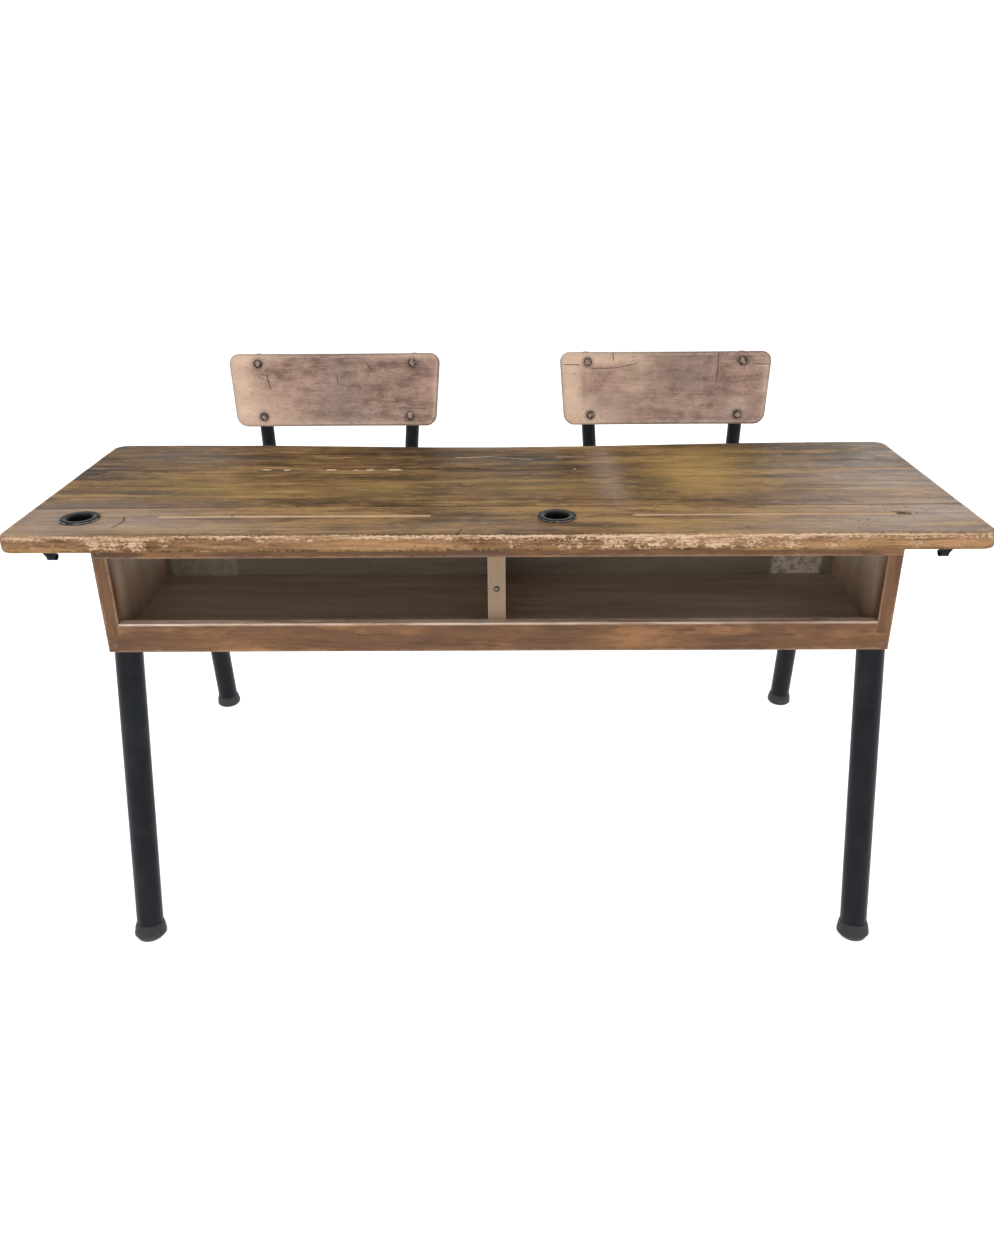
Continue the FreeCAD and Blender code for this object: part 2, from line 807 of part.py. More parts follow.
def build_seat_frame(nodes):
    """A bent rail on each side with a cap in its rear end, and two beams across, which carry the chairs."""
    rail_bodies = []
    for name, side in sides:
        start, knee, end = seat_rail_points(side)
        rail = bent_tube(start, knee, end, seat_rail_bend, seat_rail_radius, seat_rail_wall)
        front_body = rod(front_leg_point(side, 0.0), front_leg_point(side, top_height), leg_radius + weld_gap)
        nodes["seat_rail_" + name] = rail.cut(front_body)
        way = (end - knee).normalize()
        cap = dome(seat_rail_radius, seat_rail_cap_dome, end, way)
        stem = rod(end - way * seat_rail_cap_depth, end, seat_rail_radius - seat_rail_wall - weld_gap)
        nodes["seat_rail_cap_" + name] = cap.fuse(stem).removeSplitter()
        rail_bodies.append(bent_rod(start, knee, end, seat_rail_bend, seat_rail_radius + weld_gap))
    start, knee, end = seat_rail_points(1)
    for name, beam_y in (("front", front_beam_y), ("rear", rear_beam_y)):
        share = (beam_y - knee.y) / (end.y - knee.y)
        beam_x = knee.x + (end.x - knee.x) * share
        beam = tube(Vector(-beam_x, beam_y, beam_z), Vector(beam_x, beam_y, beam_z), beam_radius, beam_wall)
        for rail_body in rail_bodies:
            beam = beam.cut(rail_body)
        nodes["seat_beam_" + name] = beam


# Chairs

def seat_board():
    """A bent plywood seat: rolled down at the front and turned up a little at the back."""
    roll = math.radians(seat_roll_angle)
    upturn = math.radians(seat_upturn_angle)
    flat_front = seat_front_y + seat_roll_radius * math.sin(roll)
    flat_rear = seat_rear_y - seat_upturn_radius * math.sin(upturn)
    bottom = seat_top_height - seat_thickness
    half = seat_width / 2
    flat = block(Vector(-half, flat_front, bottom), Vector(half, flat_rear, seat_top_height))

    def section(y):
        corners = [Vector(-half, y, bottom), Vector(half, y, bottom),
                   Vector(half, y, seat_top_height), Vector(-half, y, seat_top_height)]
        return Part.Face(Part.makePolygon(corners + corners[:1]))

    across = Vector(1, 0, 0)
    front_axis = Vector(0, flat_front, seat_top_height - seat_roll_radius)
    front_roll = section(flat_front).revolve(front_axis, across, seat_roll_angle)
    rear_axis = Vector(0, flat_rear, bottom + seat_upturn_radius)
    rear_turn = section(flat_rear).revolve(rear_axis, across, seat_upturn_angle)
    board = flat.fuse([front_roll, rear_turn]).removeSplitter()
    reach = seat_roll_radius + overrun
    low = Vector(-half, seat_front_y, bottom - reach)
    plan = block(low, Vector(half, seat_rear_y, seat_top_height + reach))
    corners = [edge for edge in plan.Edges if edge.BoundBox.ZLength > reach]
    board = board.common(round_edges(plan, seat_corner_radius, corners))
    rims = [edge for edge in board.Edges if not runs_through_seat(edge)]
    return round_edges(board, seat_edge_round, rims)


def runs_through_seat(edge):
    """True for the edges that run through the thickness of the seat."""
    first = edge.Vertexes[0].Point
    last = edge.Vertexes[-1].Point
    across = math.hypot(first.x - last.x, first.y - last.y)
    return abs(first.z - last.z) > seat_thickness / 2 and across < seat_thickness


def backrest_board():
    """A bent plywood backrest, hollow to the front, wider at its top than at its bottom."""
    high = backrest_span / 2
    top = backrest_top_width / 2
    bottom = backrest_bottom_width / 2
    corners = [Vector(-bottom, -high, -high), Vector(bottom, -high, -high),
               Vector(top, -high, high), Vector(-top, -high, high)]
    face = Part.Face(Part.makePolygon(corners + corners[:1]))
    outline = face.extrude(Vector(0, 2 * high, 0))
    long_edges = [edge for edge in outline.Edges if edge.BoundBox.YLength > high]
    outline = round_edges(outline, backrest_corner_radius, long_edges)
    foot_point = Vector(0, -backrest_radius, -high - overrun)
    length = backrest_span + 2 * overrun
    shell = Part.makeCylinder(backrest_radius + backrest_thickness, length, foot_point)
    shell = shell.cut(Part.makeCylinder(backrest_radius, length, foot_point))
    board = outline.common(shell)
    rims = [edge for edge in board.Edges if not runs_through_backrest(edge)]
    return round_edges(board, backrest_edge_round, rims)


def runs_through_backrest(edge):
    """True for the edges that run through the thickness of the backrest."""
    first = edge.Vertexes[0].Point
    last = edge.Vertexes[-1].Point
    across = math.hypot(first.x - last.x, first.z - last.z)
    return abs(first.y - last.y) > backrest_thickness / 2 and across < backrest_thickness / 2


def place_backrest(solid, chair):
    """Leans the backrest back and sets it on its chair."""
    placed = solid.copy()
    placed.rotate(Vector(0, 0, 0), Vector(1, 0, 0), -backrest_recline)
    placed.translate(Vector(chair * chair_offset, backrest_y, backrest_height))
    return placed


def backrest_bolt(chair, hand, upper):
    """A dome-headed bolt through a backrest and its tube, with the nut behind."""
    face = bolt_place(chair, hand, upper, 0.0)
    rear = bolt_place(chair, hand, upper, backrest_thickness + 2 * chair_tube_radius + 2 * weld_gap)
    way = (rear - face).normalize()
    head = dome(bolt_head_radius, bolt_head_height, face - way * lift_gap, way * -1)
    shank = rod(face - way * lift_gap, rear + way * (nut_height + bolt_tail), bolt_radius)
    hole = rod(face - way * overrun, rear + way * overrun, bolt_radius + hole_gap)
    nut = nut_on(rear, way)
    return head.fuse(shank).removeSplitter(), hole, nut


def nut_on(face, way):
    """A hexagon nut lying on a face, with its bore along the given way."""
    ring = [
        Vector(nut_radius * math.cos(math.radians(60 * index)),
               nut_radius * math.sin(math.radians(60 * index)), 0)
        for index in range(6)
    ]
    nut = Part.Face(Part.makePolygon(ring + ring[:1])).extrude(Vector(0, 0, nut_height))
    bore = Part.makeCylinder(bolt_radius + hole_gap, nut_height + 2 * overrun, Vector(0, 0, -overrun))
    nut = nut.cut(bore)
    placement = FreeCAD.Placement(face, FreeCAD.Rotation(Vector(0, 0, 1), way))
    nut.transformShape(placement.toMatrix())
    return nut


def plug(end, way):
    """A plastic plug in the end of a chair tube."""
    stem = rod(end - way * plug_depth, end, chair_tube_radius - chair_tube_wall - weld_gap)
    return dome(chair_tube_radius, plug_dome, end, way).fuse(stem).removeSplitter()


def build_chair(nodes, name, chair, board, backrest_shape):
    """Two tubes, a seat and a backrest, with their fasteners and plugs."""
    seat = board.copy()
    seat.translate(Vector(chair * chair_offset, 0, 0))
    backrest = place_backrest(backrest_shape, chair)
    bolts = []
    nuts = []
    plugs = []
    screws = []
    down = Vector(0, 0, -1)
    for hand_name, hand in sides:
        front, corner, top = chair_tube_points(chair, hand)
        pipe = bent_tube(front, corner, top, chair_tube_bend, chair_tube_radius, chair_tube_wall)
        body = bent_rod(front, corner, top, chair_tube_bend, chair_tube_radius + weld_gap)
        for beam_name in ("seat_beam_front", "seat_beam_rear"):
            nodes[beam_name] = nodes[beam_name].cut(body)
        for upper in (False, True):
            bolt, hole, nut = backrest_bolt(chair, hand, upper)
            bolts.append(bolt)
            nuts.append(nut)
            backrest = backrest.cut(hole)
            pipe = pipe.cut(hole)
        for screw_y in seat_screw_rows:
            head = Vector(corner.x, screw_y, seat_top_height)
            screws.append(wood_screw(head, down))
            hole = wood_screw(head, down, hole_gap)
            seat = seat.cut(hole)
            pipe = pipe.cut(hole)
        plugs.append(plug(front, (front - corner).normalize()))
        plugs.append(plug(top, (top - corner).normalize()))
        nodes["chair_tube_" + name + "_" + hand_name] = pipe
    nodes["seat_" + name] = seat
    nodes["seat_screws_" + name] = Part.makeCompound(screws)
    nodes["backrest_" + name] = backrest
    nodes["backrest_bolts_" + name] = Part.makeCompound(bolts)
    nodes["backrest_nuts_" + name] = Part.makeCompound(nuts)
    nodes["chair_plugs_" + name] = Part.makeCompound(plugs)


# The whole desk

def build_desk():
    """Builds every piece and returns the nodes by name."""
    nodes = {}
    build_top(nodes)
    build_inkwells(nodes)
    build_box(nodes)
    build_box_fasteners(nodes)
    build_hooks(nodes)
    build_legs(nodes)
    build_top_plates(nodes)
    build_leg_screws(nodes)
    build_seat_frame(nodes)
    board = seat_board()
    backrest_shape = backrest_board()
    for name, chair in sides:
        build_chair(nodes, name, chair, board, backrest_shape)
    return nodes


def main():
    """Moves the origin under the middle of the desk and writes one file for each node."""
    os.makedirs("parts", exist_ok=True)
    nodes = build_desk()
    front = nodes["top_plank_front"].optimalBoundingBox(False, False).YMin
    rear = nodes["foot_rear_left"].optimalBoundingBox(False, False).YMax
    shift = Vector(0, -(front + rear) / 2, 0)
    print("moved along Y by", round(shift.y, 3))
    for name, shape in sorted(nodes.items()):
        shape.translate(shift)
        solids = len(shape.Solids)
        print(name, solids, "solids", "valid" if shape.isValid() else "NOT VALID", round(shape.Volume))
        shape.exportStep("parts/" + name + ".step")


main()
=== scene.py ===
import math
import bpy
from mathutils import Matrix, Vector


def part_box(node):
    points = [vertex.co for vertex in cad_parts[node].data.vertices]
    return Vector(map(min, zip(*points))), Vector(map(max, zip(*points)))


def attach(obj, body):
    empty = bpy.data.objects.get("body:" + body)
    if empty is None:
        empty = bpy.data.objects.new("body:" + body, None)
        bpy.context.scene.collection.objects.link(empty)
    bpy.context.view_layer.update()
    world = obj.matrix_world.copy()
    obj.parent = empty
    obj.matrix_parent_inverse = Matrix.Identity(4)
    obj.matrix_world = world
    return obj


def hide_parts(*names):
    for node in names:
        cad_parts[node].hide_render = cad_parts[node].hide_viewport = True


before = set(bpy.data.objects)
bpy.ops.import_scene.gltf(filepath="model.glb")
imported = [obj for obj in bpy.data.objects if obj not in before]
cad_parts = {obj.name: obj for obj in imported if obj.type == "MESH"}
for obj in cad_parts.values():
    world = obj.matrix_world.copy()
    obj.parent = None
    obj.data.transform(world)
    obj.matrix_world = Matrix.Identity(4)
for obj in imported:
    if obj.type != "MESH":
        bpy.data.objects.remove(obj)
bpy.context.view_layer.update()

from types import SimpleNamespace

import bmesh
import bpy
import numpy as np
from mathutils import Matrix

bl_info = {
    "name": "Double School Desk",
    "version": (1, 0, 0),
    "blender": (4, 5, 0),
    "location": "View3D > Sidebar > School Desk",
    "description": "Dresses the frame of a double school desk with worn wood, enamel and iron",
    "category": "Object",
}

# Places read from the frame, in metres
FRONT_LOW, FRONT_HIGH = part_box("top_plank_front")
MIDDLE_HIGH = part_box("top_plank_middle")[1]
REAR_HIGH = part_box("top_plank_rear")[1]
TOP_HALF = FRONT_HIGH.x
TOP_FRONT = FRONT_LOW.y
TOP_DEPTH = REAR_HIGH.y - TOP_FRONT
TOP_UNDER = FRONT_LOW.z
TOP_UPPER = FRONT_HIGH.z
BODY = "desk"
SIDES = ("left", "right")

# Distance at which points merge, in metres, and lines over a quarter round
MERGE = 1e-5
ROUND_STEPS = 6
TAU = 2 * math.pi


# Sizes and colours that a user would change

def length_property(name, description, default, **limits):
    return bpy.props.FloatProperty(
        name=name, description=description, default=default, subtype="DISTANCE", unit="LENGTH", **limits)


def angle_property(name, description, degrees):
    return bpy.props.FloatProperty(
        name=name, description=description, default=math.radians(degrees), subtype="ANGLE")


def colour_property(name, description, default):
    return bpy.props.FloatVectorProperty(
        name=name, description=description, default=default, size=3, min=0.0, max=1.0, subtype="COLOR")


class DeskSizes(bpy.types.PropertyGroup):
    grid_step: length_property("Grid step", "Spacing of the points on the planks", 0.004, min=0.002)
    top_round: length_property("Upper round", "Rounding of the top's upper edges", 0.006)
    under_round: length_property("Lower round", "Rounding of the top's lower edges", 0.003)
    corner_radius: length_property("Corner radius", "Radius of the top's corners seen from above", 0.022)
    joint_arris: length_property("Joint arris", "Depth of the worn notch along a joint of planks", 0.0009)
    groove_radius: length_property("Groove radius", "Radius of the pen grooves", 0.005)
    chip_depth: length_property("Chip depth", "How deep the front edge is chipped", 0.0018)
    plywood_round: length_property("Plywood round", "Rounding of the seats' and backrests' rims", 0.0035)
    board_bevel: length_property("Board bevel", "Width of the broken arrises on the box", 0.0012)


class DeskColours(bpy.types.PropertyGroup):
    top_dark: colour_property("Top dark", "Darkest streaks of the top", (0.034, 0.018, 0.006))
    top_mid: colour_property("Top middle", "Common brown of the top", (0.124, 0.064, 0.019))
    top_light: colour_property("Top light", "Palest streaks of the top", (0.275, 0.165, 0.062))
    bare_wood: colour_property("Bare wood", "Wood where the varnish has gone", (0.660, 0.470, 0.320))
    amber: colour_property("Amber", "Yellow patches of old varnish", (0.400, 0.255, 0.075))
    edge_wood: colour_property("Edge wood", "Orange brown of the top's edges", (0.420, 0.235, 0.116))
    # Painted sheen: the grey and mauve reflection of window light on the varnish, laid into the top's
    # colour
    haze: colour_property("Haze", "Grey and mauve bloom on the varnish", (0.370, 0.280, 0.238))
    box_dark: colour_property("Box dark", "Dark streaks of the box", (0.062, 0.027, 0.012))
    box_mid: colour_property("Box middle", "Common brown of the box", (0.142, 0.064, 0.026))
    box_light: colour_property("Box light", "Pale streaks of the box", (0.205, 0.098, 0.041))
    post_wood: colour_property("Post", "Bare wood of the middle post", (0.300, 0.215, 0.140))
    lip_wood: colour_property("Lip", "Dark lips at the back of the compartments", (0.185, 0.150, 0.105))
    floor_wood: colour_property("Floor", "Dusty floor of the compartments", (0.560, 0.460, 0.370))
    chair_dark: colour_property("Chair dark", "Dark streaks of the plywood", (0.165, 0.088, 0.064))
    chair_light: colour_property("Chair light", "Pale streaks of the plywood", (0.420, 0.275, 0.215))
    enamel: colour_property("Enamel", "Black paint of the frame", (0.0045, 0.0055, 0.0075))
    iron: colour_property("Iron", "Cast iron of the feet", (0.022, 0.020, 0.020))
    rust: colour_property("Rust", "Rust on steel", (0.085, 0.040, 0.024))


class StudioSettings(bpy.types.PropertyGroup):
    focal_pixels: bpy.props.FloatProperty(
        name="Focal length", description="Focal length in pixels of the whole picture", default=996.6)
    camera_height: length_property("Camera height", "Height of the camera above the floor", 1.1927)
    camera_distance: length_property("Camera distance", "From the camera to the top's front edge", 1.2057)
    camera_side: length_property("Camera side", "How far right of the middle the camera stands", 0.0196)
    camera_down: angle_property("Camera down", "How far the camera looks down", 24.94)
    camera_turn: angle_property("Camera turn", "How far the camera is turned to the left", 0.58)
    camera_roll: angle_property("Camera roll", "How far the camera is rolled", -0.47)


# Arrays and meshes

def lattice_noise(x, y, seed):
    """Smooth heights from 0 to 1: random values on a unit lattice, eased between its points."""
    table = np.random.default_rng(seed).random((64, 64))
    column = np.floor(x).astype(int)
    row = np.floor(y).astype(int)
    s = x - column
    t = y - row
    s = s * s * (3 - 2 * s)
    t = t * t * (3 - 2 * t)
    near = table[row % 64, column % 64] * (1 - s) + table[row % 64, (column + 1) % 64] * s
    far = table[(row + 1) % 64, column % 64] * (1 - s) + table[(row + 1) % 64, (column + 1) % 64] * s
    return near * (1 - t) + far * t


def cloud_noise(x, y, seed, octaves=3):
    """Sum of lattice noise at doubling scales and halving heights, from 0 to 1."""
    total = np.zeros(np.broadcast(x, y).shape)
    height = 1.0
    reach = 0.0
    for octave in range(octaves):
        total = total + height * lattice_noise(x * 2 ** octave, y * 2 ** octave, seed + octave)
        reach += height
        height *= 0.5
    return total / reach


def bell(x, y, centre, radii):
    """A soft spot: exp of minus the squared distance from its centre, in units of its radii."""
    return np.exp(-((x - centre[0]) / radii[0]) ** 2 - ((y - centre[1]) / radii[1]) ** 2)


def rolled(distance, radius):
    """Drop of a round edge of radius r at a distance d from it: r - sqrt(r^2 - (r - d)^2)."""
    short = np.clip(radius - distance, 0, radius)
    return radius - np.sqrt(np.maximum(radius ** 2 - short ** 2, 0))


def round_spacing(radius):
    """Distances from an edge that cut its quarter round into equal turns: r times (1 - cos a)."""
    return radius * (1 - np.cos(np.linspace(0, math.pi / 2, ROUND_STEPS)))


def lines_between(start, end, step):
    """Evenly spaced values from start to end, no further apart than the step."""
    return np.linspace(start, end, max(2, int(math.ceil((end - start) / step)) + 1))


def grid_faces(rows, columns, wrap_rows=False, wrap_columns=False):
    """Quads over a grid of points numbered row by row; a wrapped direction joins its ends."""
    row = np.arange(rows if wrap_rows else rows - 1)
    column = np.arange(columns if wrap_columns else columns - 1)
    row, column = np.meshgrid(row, column, indexing="ij")
    next_row = (row + 1) % rows
    next_column = (column + 1) % columns
    corners = (row * columns + column, row * columns + next_column,
               next_row * columns + next_column, next_row * columns + column)
    return np.stack(corners, axis=-1).reshape(-1, 4)


class Shape:
    """Collects grids of points with their masks, and joins them into one closed mesh."""

    def __init__(self):
        self.points = []
        self.faces = []
        self.masks = []
        self.count = 0

    def add(self, points, faces, **masks):
        flat = points.reshape(-1, 3)
        self.points.append(flat)
        self.faces.extend((np.asarray(face) + self.count).tolist() for face in faces)
        self.masks.append({name: np.broadcast_to(value, points.shape[:-1]).reshape(-1)
                           for name, value in masks.items()})
        self.count += len(flat)

    def sheet(self, points, wrap_rows=False, wrap_columns=False, **masks):
        faces = grid_faces(points.shape[0], points.shape[1], wrap_rows, wrap_columns)
        self.add(points, faces, **masks)

    def finish(self, name, material, slot, replaces, body=BODY):
        mesh = bpy.data.meshes.new(name)
        points = np.concatenate(self.points)
        mesh.from_pydata(points.tolist(), [], self.faces)
        names = sorted({key for masks in self.masks for key in masks})
        for key in names:
            values = [masks.get(key, np.zeros(len(flat))) for masks, flat in zip(self.masks, self.points)]
            layer = mesh.attributes.new(key, "FLOAT", "POINT")
            layer.data.foreach_set("value", np.concatenate(values).astype(np.float32))
        close_mesh(mesh)
        mesh.polygons.foreach_set("use_smooth", [True] * len(mesh.polygons))
        place(name, mesh, material, slot, replaces, body)


def close_mesh(mesh):
    """Merges points that coincide, drops faces that vanish, and turns every face outwards."""
    work = bmesh.new()
    work.from_mesh(mesh)
    bmesh.ops.remove_doubles(work, verts=work.verts, dist=MERGE)
    bmesh.ops.dissolve_degenerate(work, edges=work.edges, dist=MERGE / 2)
    bmesh.ops.recalc_face_normals(work, faces=work.faces)
    work.to_mesh(mesh)
    work.free()


def place(name, mesh, material, slot, replaces, body):
    """Makes the object at the origin, gives it its finish, and lets it ride on its body."""
    piece = bpy.data.objects.new(name, mesh)
    bpy.context.scene.collection.objects.link(piece)
    mesh.materials.append(material)
    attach(piece, body)
    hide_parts(*replaces)
    return piece


def node_points(node):
    """Points of a CAD node's mesh as an array."""
    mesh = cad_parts[node].data
    points = np.empty(len(mesh.vertices) * 3)
    mesh.vertices.foreach_get("co", points)
    return points.reshape(-1, 3)


def across_from(direction):
    """Two unit vectors square to a direction and to each other."""
    direction = direction / np.linalg.norm(direction)
    helper = np.array([0.0, 0.0, 1.0]) if abs(direction[2]) < 0.9 else np.array([1.0, 0.0, 0.0])
    first = np.cross(helper, direction)
    first = first / np.linalg.norm(first)
    return first, np.cross(direction, first)


def lathe(outline, foot, direction, turns=64):
    """A profile of radius r and height h spun about an axis: foot + h along it + r round it."""
    outline = np.asarray(outline, float)
    direction = np.asarray(direction, float) / np.linalg.norm(direction)
    first, second = across_from(direction)
    angle = np.arange(turns) / turns * TAU
    ring = np.outer(np.cos(angle), first) + np.outer(np.sin(angle), second)
    radius = outline[:, 0][:, None, None]
    height = outline[:, 1][:, None, None]
    return np.asarray(foot) + height * direction + radius * ring[None, :, :]


def arc_profile(centre, radius, start, end, count):
    """Points of an arc in a profile, from one angle to another in degrees."""
    angle = np.radians(np.linspace(start, end, count))
    return [(centre[0] + radius * math.cos(a), centre[1] + radius * math.sin(a)) for a in angle]


# Shader building blocks

class Wiring:
    """Adds nodes to a shader tree. What is fed to a socket is a value or another node's output."""

    def __init__(self, tree):
        self.tree = tree

    def feed(self, socket, value):
        if isinstance(value, bpy.types.NodeSocket):
            self.tree.links.new(value, socket)
        else:
            socket.default_value = value

    def add(self, kind, inputs=None, **settings):
        node = self.tree.nodes.new(kind)
        for name, value in settings.items():
            setattr(node, name, value)
        for name, value in (inputs or {}).items():
            self.feed(node.inputs[name], value)
        return node

    def place(self):
        return self.add("ShaderNodeTexCoord").outputs["Object"]

    def parts(self, vector):
        """The X, Y and Z of a vector."""
        return self.add("ShaderNodeSeparateXYZ", {0: vector}).outputs

    def mapping(self, vector, scale=(1, 1, 1), location=(0, 0, 0), rotation=(0, 0, 0)):
        inputs = {"Vector": vector, "Scale": scale, "Location": location, "Rotation": rotation}
        return self.add("ShaderNodeMapping", inputs).outputs["Vector"]

    def noise(self, vector, scale, detail=2.0, roughness=0.5):
        inputs = {"Vector": vector, "Scale": scale, "Detail": detail, "Roughness": roughness}
        return self.add("ShaderNodeTexNoise", inputs).outputs["Fac"]

    def stretched_noise(self, vector, scale, detail=2.0, roughness=0.5, location=(0, 0, 0)):
        """Noise with a scale of its own in each direction."""
        return self.noise(self.mapping(vector, scale=scale, location=location), 1.0, detail, roughness)

    def sway(self, vector, scale):
        """A vector of noise whose parts run from -0.5 to 0.5."""
        noise = self.add("ShaderNodeTexNoise", {"Vector": vector, "Scale": scale, "Detail": 2.0})
        return self.vector_maths("SUBTRACT", noise.outputs["Color"], (0.5, 0.5, 0.5))

    def maths(self, operation, first, second=0.5, third=0.5):
        return self.add("ShaderNodeMath", {0: first, 1: second, 2: third}, operation=operation).outputs[0]

    def times(self, first, second):
        return self.maths("MULTIPLY", first, second)

    def weighted(self, *pairs):
        """Sum of values, each times its weight."""
        total = 0.0
        for value, weight in pairs:
            total = self.maths("MULTIPLY_ADD", value, weight, total)
        return total

    def vector_maths(self, operation, first, second=None, scale=None):
        """A vector, or one number where the operation measures a length or a dot product."""
        node = self.add("ShaderNodeVectorMath", {0: first}, operation=operation)
        if second is not None:
            self.feed(node.inputs[1], second)
        if scale is not None:
            self.feed(node.inputs["Scale"], scale)
        return node.outputs["Value" if operation in ("DOT_PRODUCT", "DISTANCE") else "Vector"]

    def remap(self, value, low, high, to_low=0.0, to_high=1.0):
        inputs = {"Value": value, "From Min": low, "From Max": high, "To Min": to_low, "To Max": to_high}
        return self.add("ShaderNodeMapRange", inputs, interpolation_type="SMOOTHSTEP").outputs["Result"]

    def blend(self, factor, first, second):
        node = self.add("ShaderNodeMix", data_type="RGBA", blend_type="MIX")
        self.feed(node.inputs[0], factor)
        self.feed(node.inputs[6], first)
        self.feed(node.inputs[7], second)
        return node.outputs[2]

    def coat(self, base, colour, mask, strength):
        """A colour laid over another one: the mask says where, and the strength how opaque."""
        return self.blend(self.times(mask, strength), base, colour)

    def ramp(self, value, *stops):
        node = self.add("ShaderNodeValToRGB", {"Fac": value})
        marks = node.color_ramp.elements
        while len(marks) < len(stops):
            marks.new(0.5)
        for mark, (position, colour) in zip(marks, stops):
            mark.position = position
            mark.color = colour
        return node.outputs["Color"]

    def mask(self, name):
        return self.add("ShaderNodeAttribute", attribute_name=name).outputs["Fac"]

    def group(self, tree, inputs):
        node = self.add("ShaderNodeGroup", node_tree=tree)
        for name, value in inputs.items():
            self.feed(node.inputs[name], value)
        return node.outputs


def solid(colour):
    """A colour property as four numbers."""
    return (colour[0], colour[1], colour[2], 1.0)


def palette():
    """The colours that a user can change, by name, as four numbers each."""
    colours = bpy.context.scene.desk_colours
    return SimpleNamespace(**{name: solid(getattr(colours, name)) for name in DeskColours.__annotations__})


def new_group(name, inputs, outputs):
    """An empty node group with the given sockets, its wiring, and the sockets of its two ends."""
    tree = bpy.data.node_groups.new(name, "ShaderNodeTree")
    for label, kind, value in inputs:
        socket = tree.interface.new_socket(label, in_out="INPUT", socket_type=kind)
        if value is not None:
            socket.default_value = value
    for label in outputs:
        tree.interface.new_socket(label, in_out="OUTPUT", socket_type="NodeSocketFloat")
    w = Wiring(tree)
    return tree, w, w.add("NodeGroupInput").outputs, w.add("NodeGroupOutput").inputs


def build_grain_group():
    """Grain of a board that lies along X: growth rings, streaks, patches, fine fibres and short pores."""
    tree, w, given, result = new_group(
        "Board grain",
        [("Vector", "NodeSocketVector", None), ("Offset", "NodeSocketVector", (0, 0, 0)),
         ("Ring Scale", "NodeSocketFloat", 60.0), ("Waviness", "NodeSocketFloat", 1.0)],
        ["Rings", "Streaks", "Patches", "Fibres", "Pores"])
    spot = w.vector_maths("ADD", given["Vector"], given["Offset"])
    sway = w.sway(w.mapping(spot, scale=(1.6, 7.0, 7.0)), 1.0)
    shift = w.vector_maths("SCALE", sway, scale=w.times(given["Waviness"], 0.045))
    bent = w.vector_maths("ADD", spot, shift)
    tilted = w.mapping(bent, rotation=(0.0, 0.035, 0.012))
    wave = {"Vector": tilted, "Scale": given["Ring Scale"], "Distortion": 2.0, "Detail": 2.0,
            "Detail Scale": 0.6}
    rings = w.add("ShaderNodeTexWave", wave, wave_type="RINGS", rings_direction="X", wave_profile="SAW")
    w.feed(result["Rings"], rings.outputs["Fac"])
    w.feed(result["Streaks"], w.stretched_noise(bent, (4.2, 46.0, 46.0), 5.0, 0.66))
    w.feed(result["Patches"], w.stretched_noise(bent, (5.0, 19.0, 19.0), 4.0, 0.6))
    w.feed(result["Fibres"], w.stretched_noise(bent, (9.0, 420.0, 420.0), 3.0, 0.6))
    pores = w.stretched_noise(bent, (55.0, 1100.0, 1100.0), 1.0)
    w.feed(result["Pores"], w.remap(pores, 0.62, 0.72))
    return tree


def build_edge_group():
    """Rubbed arrises of a board: the second smallest distance to its faces, broken up by noise."""
    tree, w, given, result = new_group(
        "Rubbed arris",
        [("Vector", "NodeSocketVector", None), ("Low", "NodeSocketVector", (0, 0, 0)),
         ("High", "NodeSocketVector", (1, 1, 1)), ("Width", "NodeSocketFloat", 0.003)],
        ["Mask"])
    from_low = w.vector_maths("SUBTRACT", given["Vector"], given["Low"])
    from_high = w.vector_maths("SUBTRACT", given["High"], given["Vector"])
    parts = w.parts(w.vector_maths("MINIMUM", from_low, from_high))
    low_pair = w.maths("MINIMUM", parts["X"], parts["Y"])
    high_pair = w.maths("MAXIMUM", parts["X"], parts["Y"])
    second = w.maths("MAXIMUM", low_pair, w.maths("MINIMUM", high_pair, parts["Z"]))
    patchy = w.noise(given["Vector"], 45.0, 4.0, 0.65)
    reach = w.times(given["Width"], w.remap(patchy, 0.3, 0.7, 0.3, 2.0))
    w.feed(result["Mask"], w.remap(w.maths("DIVIDE", second, reach), 0.5, 1.2, 1.0, 0.0))
    return tree


def build_scratch_group():
    """Thin straight scratches in several directions: narrow valleys of stretched noise."""
    tree, w, given, result = new_group(
        "Scratches",
        [("Vector", "NodeSocketVector", None), ("Scale", "NodeSocketFloat", 1.0)],
        ["Mask"])
    base = w.vector_maths("SCALE", given["Vector"], scale=given["Scale"])
    total = 0.0
    for turn, seed in ((0.35, 3.1), (-0.6, 7.7), (1.3, 12.9)):
        turned = w.mapping(base, scale=(7.0, 130.0, 60.0), location=(seed, seed, seed),
                           rotation=(0.0, 0.0, turn))
        valley = w.maths("ABSOLUTE", w.maths("SUBTRACT", w.noise(turned, 1.0, 0.0), 0.5))
        sparse = w.stretched_noise(base, (9.0, 9.0, 9.0), 1.0, location=(seed, 0, seed))
        line = w.times(w.remap(valley, 0.0, 0.012, 1.0, 0.0), w.remap(sparse, 0.60, 0.70))
        total = w.maths("MAXIMUM", total, line)
    w.feed(result["Mask"], total)
    return tree


def build_speck_group():
    """Small round specks, as of chips, dust or spilt ink, denser in some places than in others."""
    tree, w, given, result = new_group(
        "Specks",
        [("Vector", "NodeSocketVector", None), ("Scale", "NodeSocketFloat", 200.0),
         ("Amount", "NodeSocketFloat", 0.3)],
        ["Mask"])
    cells = w.add("ShaderNodeTexVoronoi", {"Vector": given["Vector"], "Scale": given["Scale"],
                                           "Randomness": 1.0})
    spread = w.noise(given["Vector"], 9.0, 3.0, 0.6)
    limit = w.times(w.remap(spread, 0.35, 0.7), given["Amount"])
    inside = w.maths("SUBTRACT", limit, cells.outputs["Distance"])
    w.feed(result["Mask"], w.remap(inside, 0.0, 0.08))
    return tree


